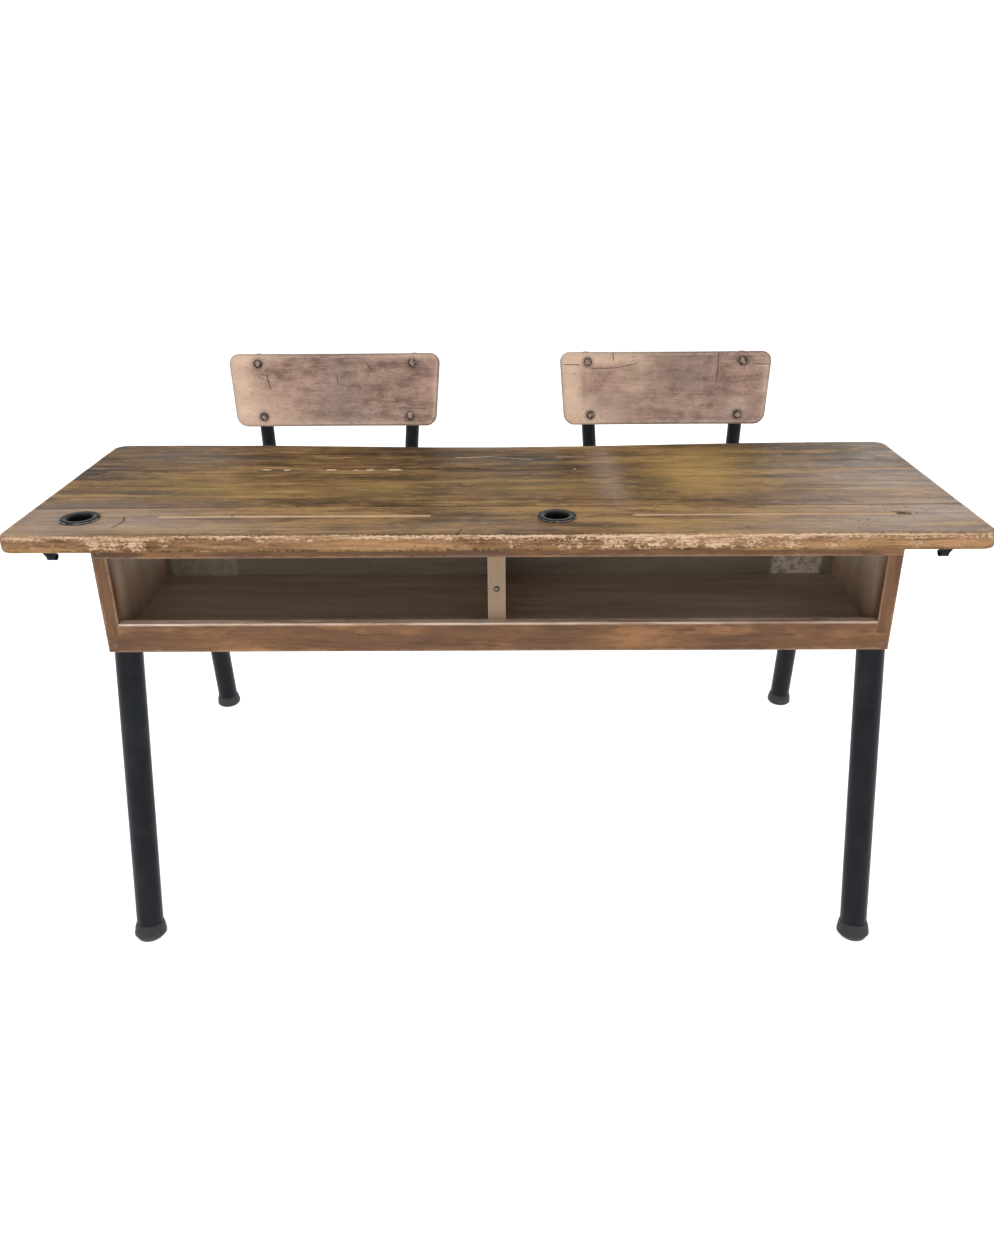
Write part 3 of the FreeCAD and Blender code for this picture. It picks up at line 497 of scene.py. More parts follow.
def build_cut_group():
    """A thin line on a face, as of a cut or a crack: near the segment that runs from Start along Way.

    Flat leaves out the direction that the face looks in. The share of the segment at its nearest point is
    the dot product of the offset and Way over the square of Way, held between 0 and 1.
    """
    tree, w, given, result = new_group(
        "Cut line",
        [("Vector", "NodeSocketVector", None), ("Flat", "NodeSocketVector", (1, 1, 0)),
         ("Start", "NodeSocketVector", (0, 0, 0)), ("Way", "NodeSocketVector", (1, 0, 0)),
         ("Width", "NodeSocketFloat", 0.001)],
        ["Mask"])
    ragged = w.sway(given["Vector"], 140.0)
    shift = w.vector_maths("SCALE", ragged, scale=w.times(given["Width"], 3.0))
    moved = w.vector_maths("ADD", given["Vector"], shift)
    offset = w.vector_maths("MULTIPLY", w.vector_maths("SUBTRACT", moved, given["Start"]), given["Flat"])
    along = w.vector_maths("DOT_PRODUCT", offset, given["Way"])
    whole = w.vector_maths("DOT_PRODUCT", given["Way"], given["Way"])
    share = w.add("ShaderNodeClamp", {"Value": w.maths("DIVIDE", along, whole)}).outputs[0]
    nearest = w.vector_maths("SCALE", given["Way"], scale=share)
    away = w.vector_maths("DISTANCE", offset, nearest)
    w.feed(result["Mask"], w.remap(w.maths("DIVIDE", away, given["Width"]), 0.35, 1.1, 1.0, 0.0))
    return tree


# The shared node groups that are built already
GROUPS = {}


def group(name):
    """A shared node group, built the first time that it is asked for."""
    builders = {"grain": build_grain_group, "edge": build_edge_group,
                "scratch": build_scratch_group, "speck": build_speck_group, "cut": build_cut_group}
    if name not in GROUPS:
        GROUPS[name] = builders[name]()
    return GROUPS[name]


def board_grain(w, spot, offset, ring_scale, waviness):
    """The masks of the grain group, for one board."""
    return w.group(group("grain"), {"Vector": spot, "Offset": offset, "Ring Scale": ring_scale,
                                    "Waviness": waviness})


def scratches(w, spot, scale):
    """The mask of the scratch group: a larger scale gives finer scratches."""
    return w.group(group("scratch"), {"Vector": spot, "Scale": scale})["Mask"]


def specks(w, spot, scale, amount):
    """The mask of the speck group: specks at a scale, more of them at a larger amount."""
    return w.group(group("speck"), {"Vector": spot, "Scale": scale, "Amount": amount})["Mask"]


def cut_lines(w, spot, flat, cuts):
    """The largest mask of several cut lines, each given by its start, its end and its width."""
    total = 0.0
    for start, end, width in cuts:
        way = tuple(np.subtract(end, start) * flat)
        line = w.group(group("cut"), {"Vector": spot, "Flat": flat, "Start": tuple(start), "Way": way,
                                      "Width": width})["Mask"]
        total = w.maths("MAXIMUM", total, line)
    return total


def new_material(name):
    """A material with an empty Principled shader, its wiring, and the place on the object."""
    material = bpy.data.materials.new(name)
    material.use_nodes = True
    tree = material.node_tree
    tree.nodes.clear()
    w = Wiring(tree)
    shader = w.add("ShaderNodeBsdfPrincipled")
    output = w.add("ShaderNodeOutputMaterial")
    tree.links.new(shader.outputs["BSDF"], output.inputs["Surface"])
    return material, w, shader.inputs, w.place()


def finish_surface(w, shader, colour, roughness, specular, height, depth, strength):
    """Feeds a finish to its shader, with a bump whose depth is real."""
    bump = w.add("ShaderNodeBump", {"Height": height, "Distance": depth, "Strength": strength})
    w.feed(shader["Base Color"], colour)
    w.feed(shader["Roughness"], roughness)
    w.feed(shader["Specular IOR Level"], specular)
    w.feed(shader["Normal"], bump.outputs["Normal"])


# Finishes

# Colours of single marks, on the top
WARM_STREAK = (0.155, 0.074, 0.034, 1.0)
RAW_BROWN = (0.330, 0.180, 0.090, 1.0)
# Painted highlight: the far wall of a pen groove catching the light, from brown to cream
GROOVE_LIT_BROWN = (0.560, 0.370, 0.210, 1.0)
GROOVE_HIGHLIGHT_CREAM = (0.800, 0.620, 0.450, 1.0)
PUTTY_CREAM = (0.600, 0.500, 0.360, 1.0)
# Dark joints and dirt, and painted shade in the pen grooves and along the bottom of the front edge
DIRT_AND_SHADE_BROWN = (0.045, 0.024, 0.013, 1.0)
CUT_BROWN = (0.030, 0.018, 0.012, 1.0)
SPLIT_CREAM = (0.480, 0.370, 0.260, 1.0)
# On the box
FLAME_ORANGE = (0.320, 0.150, 0.060, 1.0)
DUST_BROWN = (0.300, 0.210, 0.145, 1.0)
DUST_CREAM = (0.460, 0.340, 0.240, 1.0)
RAIL_CREAM = (0.680, 0.530, 0.430, 1.0)
SPECK_BROWN = (0.03, 0.02, 0.012, 1.0)
CRUMB_CREAM = (0.42, 0.36, 0.28, 1.0)
# Painted light on the lips where light comes through the open back of the compartments
LIT_PATCH_CREAM = (0.620, 0.530, 0.410, 1.0)
# On the plywood
FADED_VENEER = (0.780, 0.560, 0.410, 1.0)
GREY_VENEER = (0.230, 0.185, 0.160, 1.0)
STAIN_BROWN = (0.060, 0.040, 0.030, 1.0)
PORE_BROWN = (0.120, 0.065, 0.045, 1.0)
SCRATCH_CREAM = (0.60, 0.46, 0.36, 1.0)
RUBBED_VENEER = (0.520, 0.420, 0.330, 1.0)
# Dark rim of the plywood, and painted shade round the bolt heads
RIM_AND_BOLT_SHADE_BROWN = (0.060, 0.044, 0.036, 1.0)
GLUE_BROWN = (0.045, 0.028, 0.020, 1.0)
PLY_DARK = (0.120, 0.078, 0.055, 1.0)
PLY_LIGHT = (0.150, 0.100, 0.070, 1.0)
CRACK_BROWN = (0.055, 0.032, 0.024, 1.0)
# On metal, resin and plastic
PAINT_DUST = (0.22, 0.20, 0.18, 1.0)
SCUFF_GREY = (0.12, 0.12, 0.12, 1.0)
IRON_GREY = (0.040, 0.037, 0.036, 1.0)
IRON_WORN = (0.100, 0.078, 0.062, 1.0)
DULL_STEEL = (0.15, 0.12, 0.10, 1.0)
# Painted shade and painted highlight on domed bolt heads
HEAD_SHADE = (0.030, 0.022, 0.018, 1.0)
HEAD_HIGHLIGHT = (0.330, 0.235, 0.190, 1.0)
COLLAR_BLACK = (0.016, 0.015, 0.014, 1.0)
COLLAR_GREY = (0.230, 0.225, 0.215, 1.0)
RESIN_BLACK = (0.010, 0.010, 0.009, 1.0)
RESIN_GREY = (0.024, 0.023, 0.020, 1.0)
RESIN_RUBBED = (0.110, 0.110, 0.100, 1.0)
PLASTIC_BLACK = (0.016, 0.016, 0.017, 1.0)
PLASTIC_GREY = (0.045, 0.045, 0.046, 1.0)

# Sizes of wear, and the fade of the painted light on the lips, that a finish works out itself, in metres;
# a pair is where a mask starts and ends
ARRIS_WIDTH = 0.0022
DUST_CLEAR_OF_ARRIS = (0.0015, 0.0035)
DUST_START_BEHIND_RAIL = (0.004, 0.030)
WORN_TOP_OF_RAIL = (0.0020, 0.0045)
LIT_PATCH_FADE = 0.008
FOOT_WEAR_HEIGHT = 0.018
# Brings the sum of the top's grain masks to the middle of its ramp of colours
RAMP_SHIFT = -0.435


def top_wood(name, offset, ring_scale, tone, cuts, splits):
    """Varnished plank: streaks, amber patches, grey patches of painted sheen, dark cuts, pale splits and
    rubbed bare wood, with painted shade and a painted highlight in the pen grooves and painted shade along
    the bottom of the front edge.
    """
    colours = palette()
    material, w, shader, spot = new_material(name)
    grain = board_grain(w, spot, offset, ring_scale, 1.0)
    mixed = w.weighted((grain["Streaks"], 0.90), (grain["Rings"], 0.10), (grain["Patches"], 0.70),
                       (grain["Fibres"], 0.22), (tone + RAMP_SHIFT, 1.0))
    wood = w.ramp(mixed, (0.38, colours.top_dark), (0.52, colours.top_mid), (0.68, colours.top_light))
    broken = w.stretched_noise(spot, (26.0, 70.0, 70.0), 4.0, 0.72)
    wood = w.blend(w.remap(broken, 0.50, 0.68, 0.0, 0.55), wood, colours.top_light)
    wood = w.blend(w.remap(broken, 0.50, 0.30, 0.0, 0.65), wood, colours.top_dark)
    warm = w.stretched_noise(spot, (7.0, 22.0, 22.0), 3.0, 0.65, location=(4.0, 7.0, 1.0))
    wood = w.blend(w.remap(warm, 0.52, 0.70, 0.0, 0.45), wood, WARM_STREAK)
    cloudy = w.stretched_noise(spot, (4.0, 14.0, 14.0), 3.0, 0.6)
    amber = w.times(w.mask("amber"), w.remap(cloudy, 0.3, 0.7, 0.45, 1.0))
    wood = w.coat(wood, colours.amber, amber, 0.85)
    stain = w.times(w.mask("stain"), w.remap(grain["Streaks"], 0.35, 0.6, 1.0, 0.35))
    wood = w.coat(wood, colours.top_dark, stain, 0.72)
    # Painted sheen: grey and mauve reflections of window light on the varnish, laid into the colour
    haze = w.times(w.mask("haze"), w.remap(cloudy, 0.3, 0.75, 0.55, 1.0))
    wood = w.coat(wood, colours.haze, haze, 0.60)
    side = w.ramp(w.weighted((grain["Streaks"], 0.8), (grain["Fibres"], 0.4)),
                  (0.44, colours.box_dark), (0.72, colours.edge_wood))
    wood = w.coat(wood, side, w.mask("edge"), 0.85)
    wood = w.coat(wood, colours.top_dark, grain["Pores"], 0.45)
    scratched = scratches(w, spot, 1.0)
    wood = w.coat(wood, colours.bare_wood, scratched, 0.25)
    wood = w.coat(wood, colours.top_dark, specks(w, spot, 75.0, 0.26), 0.5)
    torn = w.stretched_noise(spot, (210.0, 380.0, 380.0), 3.0, 0.70)
    rub = w.remap(w.maths("ADD", w.mask("rub"), w.remap(torn, 0.32, 0.68, -0.45, 0.25)), 0.20, 0.62)
    raw = w.ramp(w.weighted((torn, 0.3), (grain["Fibres"], 1.0)),
                 (0.50, RAW_BROWN), (0.72, colours.bare_wood))
    wood = w.coat(wood, raw, rub, 0.9)
    # Painted highlight on the far wall of each pen groove
    wood = w.blend(w.mask("groove"), wood, w.blend(cloudy, GROOVE_LIT_BROWN, GROOVE_HIGHLIGHT_CREAM))
    filler = w.remap(w.mask("filler"), 0.35, 0.75)
    wood = w.coat(wood, PUTTY_CREAM, filler, 0.85)
    # Dark joints and dirt, with painted shade on the near wall of each pen groove and along the bottom of
    # the front edge
    dirt = w.remap(w.mask("dirt"), 0.2, 0.8)
    wood = w.coat(wood, DIRT_AND_SHADE_BROWN, dirt, 0.80)
    cut = cut_lines(w, spot, (1.0, 1.0, 0.0), cuts)
    wood = w.coat(wood, CUT_BROWN, cut, 0.75)
    wood = w.coat(wood, SPLIT_CREAM, cut_lines(w, spot, (1.0, 1.0, 0.0), splits), 0.70)
    rough = w.weighted((w.remap(grain["Patches"], 0.3, 0.7, 0.36, 0.50), 1.0),
                       (w.maths("MAXIMUM", rub, filler), 0.3), (w.maths("MAXIMUM", dirt, cut), 0.3))
    height = w.weighted((grain["Fibres"], 0.7), (grain["Pores"], -0.6), (scratched, -0.9),
                        (w.times(torn, rub), 1.6))
    finish_surface(w, shader, wood, rough, 0.08, height, 0.0006, 0.75)
    return material


def box_wood(name, low, high, offset, across=False, bare=0.0, worn=0.0, inner=None):
    """Reddish varnished board: across turns its grain upright, bare is how far its varnish has gone, worn
    is how pale its top arris is, and inner is the place across of its dusty inner face."""
    colours = palette()
    material, w, shader, spot = new_material(name)
    along = w.mapping(spot, rotation=(0.0, math.pi / 2, 0.0)) if across else spot
    grain = board_grain(w, along, offset, 45.0, 1.2)
    mixed = w.weighted((grain["Fibres"], 0.30), (grain["Streaks"], 0.85), (grain["Patches"], 0.35))
    wood = w.ramp(mixed, (0.54, colours.box_dark), (0.74, colours.box_mid), (0.94, colours.box_light))
    flame = w.stretched_noise(along, (7.0, 26.0, 26.0), 4.0, 0.68, location=(2.0, 5.0, 3.0))
    wood = w.blend(w.remap(flame, 0.50, 0.70, 0.0, 0.20 if across else 0.75), wood, FLAME_ORANGE)
    wood = w.blend(w.remap(flame, 0.48, 0.32, 0.0, 0.50), wood, colours.box_dark)
    wood = w.coat(wood, colours.box_dark, grain["Pores"], 0.4)
    arris = {"Vector": spot, "Low": low, "High": high, "Width": ARRIS_WIDTH}
    wood = w.coat(wood, colours.bare_wood, w.group(group("edge"), arris)["Mask"], 0.16)
    if bare:
        wood = w.blend(w.remap(grain["Streaks"], 0.3, 0.7, bare, bare * 0.8), wood, colours.post_wood)
    parts = w.parts(spot)
    if inner is not None:
        from_face = w.maths("ABSOLUTE", w.maths("SUBTRACT", parts["X"], inner))
        near = w.remap(from_face, *DUST_CLEAR_OF_ARRIS, 1.0, 0.0)
        deep = w.remap(w.maths("SUBTRACT", parts["Y"], low.y), *DUST_START_BEHIND_RAIL, 0.0, 0.8)
        dusty = w.ramp(grain["Patches"], (0.35, DUST_BROWN), (0.65, DUST_CREAM))
        wood = w.coat(wood, dusty, near, deep)
    if worn:
        top = w.remap(w.maths("SUBTRACT", high.z, parts["Z"]), *WORN_TOP_OF_RAIL, 1.0, 0.0)
        fade = w.remap(parts["X"], low.x, high.x, 1.0, 0.55)
        broken = w.remap(w.stretched_noise(spot, (9.0, 60.0, 60.0), 3.0, 0.7), 0.35, 0.6, 0.35, 1.0)
        wood = w.coat(wood, RAIL_CREAM, w.times(top, fade), w.times(broken, worn))
    wood = w.coat(wood, SPECK_BROWN, specks(w, spot, 110.0, 0.22), 0.5)
    rough = w.remap(grain["Streaks"], 0.3, 0.7, 0.42, 0.58)
    height = w.weighted((grain["Fibres"], 1.0), (grain["Pores"], -0.5))
    finish_surface(w, shader, wood, rough, 0.30, height, 0.0004, 0.6)
    return material


def floor_wood(name, pale, patches=()):
    """Stained board under a film of dust, with pale patches of painted light; a patch has a start and an
    end across, and a strength.
    """
    material, w, shader, spot = new_material(name)
    dark = solid([0.70 * part for part in pale[:3]])
    film_colour = solid([0.85 * part for part in pale[:3]])
    grain = board_grain(w, spot, (3.0, 1.0, 2.0), 40.0, 0.8)
    wood = w.ramp(grain["Streaks"], (0.35, dark), (0.65, pale))
    film = w.remap(w.stretched_noise(spot, (6.0, 9.0, 9.0), 4.0, 0.65), 0.35, 0.7)
    wood = w.coat(wood, film_colour, film, 0.35)
    wood = w.coat(wood, CRUMB_CREAM, specks(w, spot, 90.0, 0.20), 0.3)
    across = w.parts(spot)["X"]
    scuffed = w.remap(w.stretched_noise(spot, (70.0, 70.0, 90.0), 3.0, 0.7), 0.35, 0.60, 0.25, 1.0)
    # Painted light: pale patches where light comes through the open back onto the lips; the scuffed noise
    # only breaks them up
    for start, end, strength in patches:
        after_start = w.remap(across, start, start + LIT_PATCH_FADE)
        before_end = w.remap(across, end - LIT_PATCH_FADE, end, 1.0, 0.0)
        wood = w.coat(wood, LIT_PATCH_CREAM, w.times(after_start, before_end), w.times(scuffed, strength))
    rough = w.remap(film, 0.0, 1.0, 0.55, 0.85)
    finish_surface(w, shader, wood, rough, 0.25, grain["Fibres"], 0.0003, 0.5)
    return material


def chair_plywood(name, offset, cracks=()):
    """Bent plywood: mottled pinkish brown veneer with a dark rim, painted shade round the bolt heads, and
    its plies on the edge.
    """
    colours = palette()
    material, w, shader, spot = new_material(name)
    grain = board_grain(w, spot, offset, 30.0, 1.4)
    mottled = w.stretched_noise(spot, (38.0, 38.0, 60.0), 5.0, 0.68)
    mixed = w.weighted((grain["Fibres"], 0.22), (grain["Streaks"], 0.35), (mottled, 0.60))
    veneer = w.ramp(mixed, (0.47, colours.chair_dark), (0.70, colours.chair_light))
    cloudy = w.stretched_noise(spot, (11.0, 11.0, 16.0), 4.0, 0.65)
    pale = w.times(w.mask("fade"), w.remap(cloudy, 0.3, 0.7, 0.7, 1.0))
    veneer = w.coat(veneer, FADED_VENEER, pale, 0.84)
    grey = w.times(w.mask("haze"), w.remap(cloudy, 0.3, 0.7, 0.5, 1.0))
    veneer = w.coat(veneer, GREY_VENEER, grey, 0.55)
    stain = w.times(w.mask("stain"), w.remap(cloudy, 0.35, 0.6, 0.6, 1.0))
    veneer = w.coat(veneer, STAIN_BROWN, stain, 0.7)
    veneer = w.coat(veneer, PORE_BROWN, grain["Pores"], 0.5)
    veneer = w.coat(veneer, SCRATCH_CREAM, scratches(w, spot, 1.8), 0.3)
    veneer = w.coat(veneer, STAIN_BROWN, specks(w, spot, 130.0, 0.24), 0.6)
    torn = w.stretched_noise(spot, (90.0, 90.0, 200.0), 3.0, 0.7)
    rub = w.remap(w.maths("ADD", w.mask("rub"), w.remap(torn, 0.3, 0.7, -0.3, 0.3)), 0.4, 0.75)
    veneer = w.coat(veneer, RUBBED_VENEER, rub, 0.45)
    # The dark rim, and painted shade in rings round the bolt heads
    ring = w.times(w.mask("ring"), w.remap(torn, 0.3, 0.7, 0.6, 1.0))
    veneer = w.coat(veneer, RIM_AND_BOLT_SHADE_BROWN, ring, 0.85)
    layer = w.maths("FRACT", w.times(w.mask("ply"), 4.0))
    plies = w.ramp(layer, (0.0, GLUE_BROWN), (0.30, PLY_DARK), (0.80, PLY_LIGHT), (1.0, GLUE_BROWN))
    surface = w.blend(w.mask("rim"), veneer, plies)
    crack = cut_lines(w, spot, (1.0, 0.0, 1.0), cracks)
    surface = w.coat(surface, CRACK_BROWN, crack, 0.80)
    rough = w.weighted((w.remap(cloudy, 0.3, 0.7, 0.38, 0.52), 1.0), (rub, 0.2))
    height = w.weighted((grain["Fibres"], 1.0), (grain["Pores"], -0.5), (crack, -2.0))
    finish_surface(w, shader, surface, rough, 0.30, height, 0.0004, 0.6)
    return material


def enamel(name, tint, roughness, chips):
    """Black paint on steel: a soft shine, a film of dust, hairline scuffs and small chips down to rust."""
    material, w, shader, spot = new_material(name)
    flow = w.stretched_noise(spot, (30.0, 30.0, 9.0), 4.0, 0.6)
    paint = w.ramp(flow, (0.3, tint), (0.75, solid((tint[0] * 2.0, tint[1] * 2.1, tint[2] * 2.3))))
    paint = w.coat(paint, PAINT_DUST, w.remap(w.noise(spot, 14.0, 4.0, 0.7), 0.5, 0.8), 0.05)
    paint = w.coat(paint, SCUFF_GREY, scratches(w, spot, 2.4), 0.20)
    chip = specks(w, spot, 160.0, chips)
    paint = w.coat(paint, palette().rust, chip, 0.9)
    gloss = w.remap(flow, 0.3, 0.7, roughness - 0.05, roughness + 0.09)
    rough = w.weighted((gloss, 1.0), (chip, 0.4))
    ripple = w.stretched_noise(spot, (120.0, 120.0, 60.0), 3.0, 0.6)
    finish_surface(w, shader, paint, rough, 0.13, w.weighted((ripple, 1.0), (chip, -1.0)), 0.0003, 0.35)
    return material


def cast_iron():
    """Cast iron painted black long ago: a grainy skin, scuffed brown near the floor."""
    material, w, shader, spot = new_material("Foot iron")
    skin = w.noise(spot, 260.0, 4.0, 0.65)
    base = w.ramp(skin, (0.35, palette().iron), (0.7, IRON_GREY))
    patchy = w.noise(spot, 70.0, 4.0, 0.7)
    low_down = w.remap(w.parts(spot)["Z"], 0.0, FOOT_WEAR_HEIGHT, 1.0, 0.1)
    base = w.coat(base, IRON_WORN, w.times(low_down, w.remap(patchy, 0.48, 0.66)), 0.55)
    finish_surface(w, shader, base, w.remap(patchy, 0.3, 0.7, 0.42, 0.66), 0.25, skin, 0.0006, 0.6)
    return material


def rusty_steel(name, shine, crown_highlights=()):
    """Bolt and screw heads: dull steel with brown rust in patches, and on domed bolt heads a painted
    highlight on the crown over painted shade on the rest.
    """
    rusty = palette().rust
    material, w, shader, spot = new_material(name)
    patchy = w.noise(spot, 210.0, 4.0, 0.7)
    rust = w.remap(patchy, 0.5 - shine * 0.1, 0.68)
    metal = w.blend(rust, DULL_STEEL, rusty)
    if crown_highlights:
        # Painted highlight on the crown of each domed bolt head, whose rest is darkened as painted shade
        crown_highlight = cut_lines(w, spot, (1.0, 0.0, 1.0), crown_highlights)
        metal = w.blend(crown_highlight, w.blend(0.8, metal, HEAD_SHADE), HEAD_HIGHLIGHT)
    w.feed(shader["Metallic"], w.remap(rust, 0.0, 1.0, 0.85, 0.1))
    finish_surface(w, shader, metal, w.remap(rust, 0.0, 1.0, 0.38, 0.8), 0.5, patchy, 0.0004, 0.6)
    return material


def collar_metal():
    """Dark painted collar, worn to grey metal on its rings."""
    material, w, shader, spot = new_material("Collar metal")
    patchy = w.noise(spot, 120.0, 4.0, 0.65)
    worn = w.remap(w.maths("ADD", w.mask("rub"), w.remap(patchy, 0.3, 0.7, -0.3, 0.3)), 0.35, 0.8)
    base = w.blend(worn, COLLAR_BLACK, COLLAR_GREY)
    finish_surface(w, shader, base, w.remap(patchy, 0.3, 0.7, 0.35, 0.55), 0.15, patchy, 0.0003, 0.4)
    return material


def cup_resin():
    """Dull black resin with a dry film of ink inside."""
    material, w, shader, spot = new_material("Cup resin")
    patchy = w.noise(spot, 160.0, 4.0, 0.6)
    base = w.ramp(patchy, (0.3, RESIN_BLACK), (0.75, RESIN_GREY))
    base = w.coat(base, RESIN_RUBBED, w.mask("rub"), 0.6)
    finish_surface(w, shader, base, w.remap(patchy, 0.3, 0.7, 0.30, 0.50), 0.18, patchy, 0.0003, 0.4)
    return material


def black_plastic():
    """Matt black plugs and caps with a pebbled skin."""
    material, w, shader, spot = new_material("Black plastic")
    skin = w.noise(spot, 500.0, 3.0, 0.6)
    base = w.ramp(skin, (0.3, PLASTIC_BLACK), (0.8, PLASTIC_GREY))
    finish_surface(w, shader, base, w.remap(skin, 0.3, 0.7, 0.50, 0.68), 0.5, skin, 0.0002, 0.4)
    return material


# Desk top

# Soft spots on the top: place across, distance from the front edge, radius across, radius back, strength
# Painted sheen on the varnish: window reflections at the left front and the right end, and a pinkish
# upright streak
SHEEN_SPOTS = (
    (-0.600, 0.040, 0.120, 0.090, 0.90), (-0.500, 0.085, 0.130, 0.050, 0.75),
    (-0.400, 0.040, 0.120, 0.030, 0.40), (0.560, 0.090, 0.160, 0.090, 0.90),
    (0.570, 0.250, 0.110, 0.070, 0.60), (0.640, 0.390, 0.080, 0.050, 0.30),
    (-0.520, 0.390, 0.120, 0.060, 0.30), (0.360, 0.060, 0.120, 0.030, 0.20),
    (0.168, 0.360, 0.026, 0.090, 0.62), (0.168, 0.220, 0.024, 0.100, 0.62),
    (0.450, 0.300, 0.100, 0.050, 0.20), (0.360, 0.020, 0.140, 0.025, 0.45),
    (-0.200, 0.025, 0.180, 0.022, 0.30), (0.010, 0.040, 0.120, 0.030, 0.35),
)
AMBER_SPOTS = (
    (0.305, 0.250, 0.070, 0.070, 1.00), (0.300, 0.350, 0.090, 0.060, 1.00),
    (-0.165, 0.205, 0.060, 0.030, 0.80), (-0.420, 0.225, 0.070, 0.035, 0.55),
    (-0.300, 0.190, 0.180, 0.050, 0.25), (0.080, 0.200, 0.080, 0.040, 0.45),
    (0.260, 0.040, 0.090, 0.030, 0.50),
)
STAIN_SPOTS = (
    (-0.055, 0.405, 0.110, 0.014, 0.90), (0.005, 0.372, 0.100, 0.016, 0.95),
    (-0.074, 0.300, 0.090, 0.010, 0.85), (-0.408, 0.370, 0.110, 0.020, 0.70),
    (-0.300, 0.430, 0.200, 0.016, 0.60), (0.060, 0.250, 0.060, 0.012, 0.60),
    (0.020, 0.320, 0.140, 0.050, 0.60), (0.590, 0.400, 0.110, 0.010, 0.70),
    (-0.470, 0.320, 0.050, 0.010, 0.50), (-0.040, 0.100, 0.014, 0.010, 0.40),
    (0.060, 0.074, 0.030, 0.020, 0.55), (0.414, 0.245, 0.014, 0.020, 0.55),
    (0.430, 0.300, 0.120, 0.010, 0.40), (-0.350, 0.250, 0.040, 0.014, 0.45),
    (-0.610, 0.062, 0.060, 0.012, 0.55), (-0.560, 0.074, 0.050, 0.030, 0.35),
    (-0.460, 0.205, 0.160, 0.050, 0.30), (-0.040, 0.400, 0.200, 0.050, 0.35),
    (0.000, 0.200, 0.140, 0.060, 0.25),
)
# Putty along the rear joint: start and end across
PUTTY = (
    (-0.372, -0.352), (-0.337, -0.318), (-0.271, -0.250), (-0.228, -0.191), (-0.173, -0.146),
    (-0.044, -0.039), (0.096, 0.102), (0.110, 0.123),
)
# Chips along the front edge: middle across, half length, depth as a share of the chip depth
CHIPS = (
    (-0.520, 0.010, 0.8), (-0.498, 0.012, 0.9), (-0.470, 0.018, 1.0), (-0.430, 0.007, 0.5),
    (-0.300, 0.010, 0.4), (0.020, 0.020, 0.4), (0.100, 0.030, 0.5), (0.150, 0.020, 0.7),
    (0.200, 0.024, 0.8), (0.245, 0.020, 0.9), (0.290, 0.024, 0.9), (0.330, 0.016, 0.7),
    (0.380, 0.020, 0.6), (0.440, 0.016, 0.5), (0.540, 0.012, 0.5),
)
# Cuts in each plank: start and end as place across and distance from the front, and width
CUTS = {
    "front": (
        ((-0.045, 0.024), (-0.050, 0.004), 0.0018), ((-0.506, 0.079), (-0.501, 0.060), 0.0022),
        ((-0.501, 0.060), (-0.508, 0.036), 0.0020), ((-0.380, 0.060), (-0.350, 0.100), 0.0009),
        ((0.537, 0.088), (0.550, 0.085), 0.0018), ((0.550, 0.085), (0.564, 0.083), 0.0012),
        ((-0.620, 0.060), (-0.585, 0.066), 0.0012), ((0.300, 0.054), (0.360, 0.050), 0.0008),
    ),
    "middle": (
        ((-0.634, 0.280), (-0.612, 0.291), 0.0024), ((0.352, 0.205), (0.400, 0.232), 0.0012),
        ((0.470, 0.155), (0.500, 0.128), 0.0010), ((-0.110, 0.262), (-0.060, 0.258), 0.0012),
        ((0.245, 0.180), (0.262, 0.176), 0.0020), ((0.286, 0.252), (0.300, 0.262), 0.0016),
        ((-0.240, 0.140), (-0.160, 0.136), 0.0012),
    ),
    "rear": (
        ((-0.110, 0.306), (-0.068, 0.316), 0.0036), ((-0.068, 0.316), (-0.028, 0.305), 0.0036),
        ((-0.060, 0.420), (0.060, 0.412), 0.0016), ((-0.010, 0.378), (0.075, 0.384), 0.0018),
        ((-0.455, 0.404), (-0.400, 0.408), 0.0014), ((-0.210, 0.416), (-0.160, 0.412), 0.0012),
    ),
}
# Pale splits in each plank, in the same form
SPLITS = {
    "front": (
        ((-0.347, 0.1290), (-0.234, 0.1280), 0.0012), ((0.150, 0.1280), (0.200, 0.1285), 0.0010),
    ),
    "middle": (
        ((-0.340, 0.190), (-0.290, 0.188), 0.0008), ((0.320, 0.178), (0.360, 0.176), 0.0009),
        ((-0.050, 0.222), (-0.040, 0.222), 0.0016),
    ),
    "rear": (
        ((-0.070, 0.376), (-0.014, 0.382), 0.0026), ((-0.014, 0.382), (0.052, 0.363), 0.0018),
        ((0.095, 0.3755), (0.139, 0.3750), 0.0016), ((-0.300, 0.372), (-0.240, 0.376), 0.0012),
        ((-0.520, 0.350), (-0.440, 0.352), 0.0010),
    ),
}
# Sizes of the sag, the pen grooves and the inkwell holes, in metres, which the frame doesn't tell
SAG = 0.0065
SAG_HALF_LENGTH = 0.33
SAG_START_SHARE = 0.36
GROOVE_ROOM = 0.105
GROOVE_REACH = {"left": 0.0895, "right": 0.083}
GROOVE_LINE = 0.080
GROOVE_SHADE_SHARE = 0.45
HOLE_RADIUS = 0.0232
# Spacing of the lines of points behind the front edge, and the least gap between any two
ARRIS_STEP = 0.0012
LEAST_GAP = 0.0003
# How far wear and the painted shade on the near wall of a pen groove reach, and how deep wear is, in
# metres
CHIP_REACH = 0.006
CHIP_BARE_REACH = 0.0040
FRONT_RUB_PLACE = 0.0024
FRONT_RUB_WIDTH = 0.0022
OUTLINE_RUB_WIDTH = 0.002
EDGE_REACH = 0.0030
GROOVE_WALL_FADE = 0.0014
FRONT_DIRT_WIDTH = 0.0014
JOINT_DIRT_WIDTH = 0.0018
PUTTY_WIDTH = 0.0040
PUTTY_FADE = 0.003
GRAIN_DEPTH = 0.0005
DENT_DEPTH = 0.0004
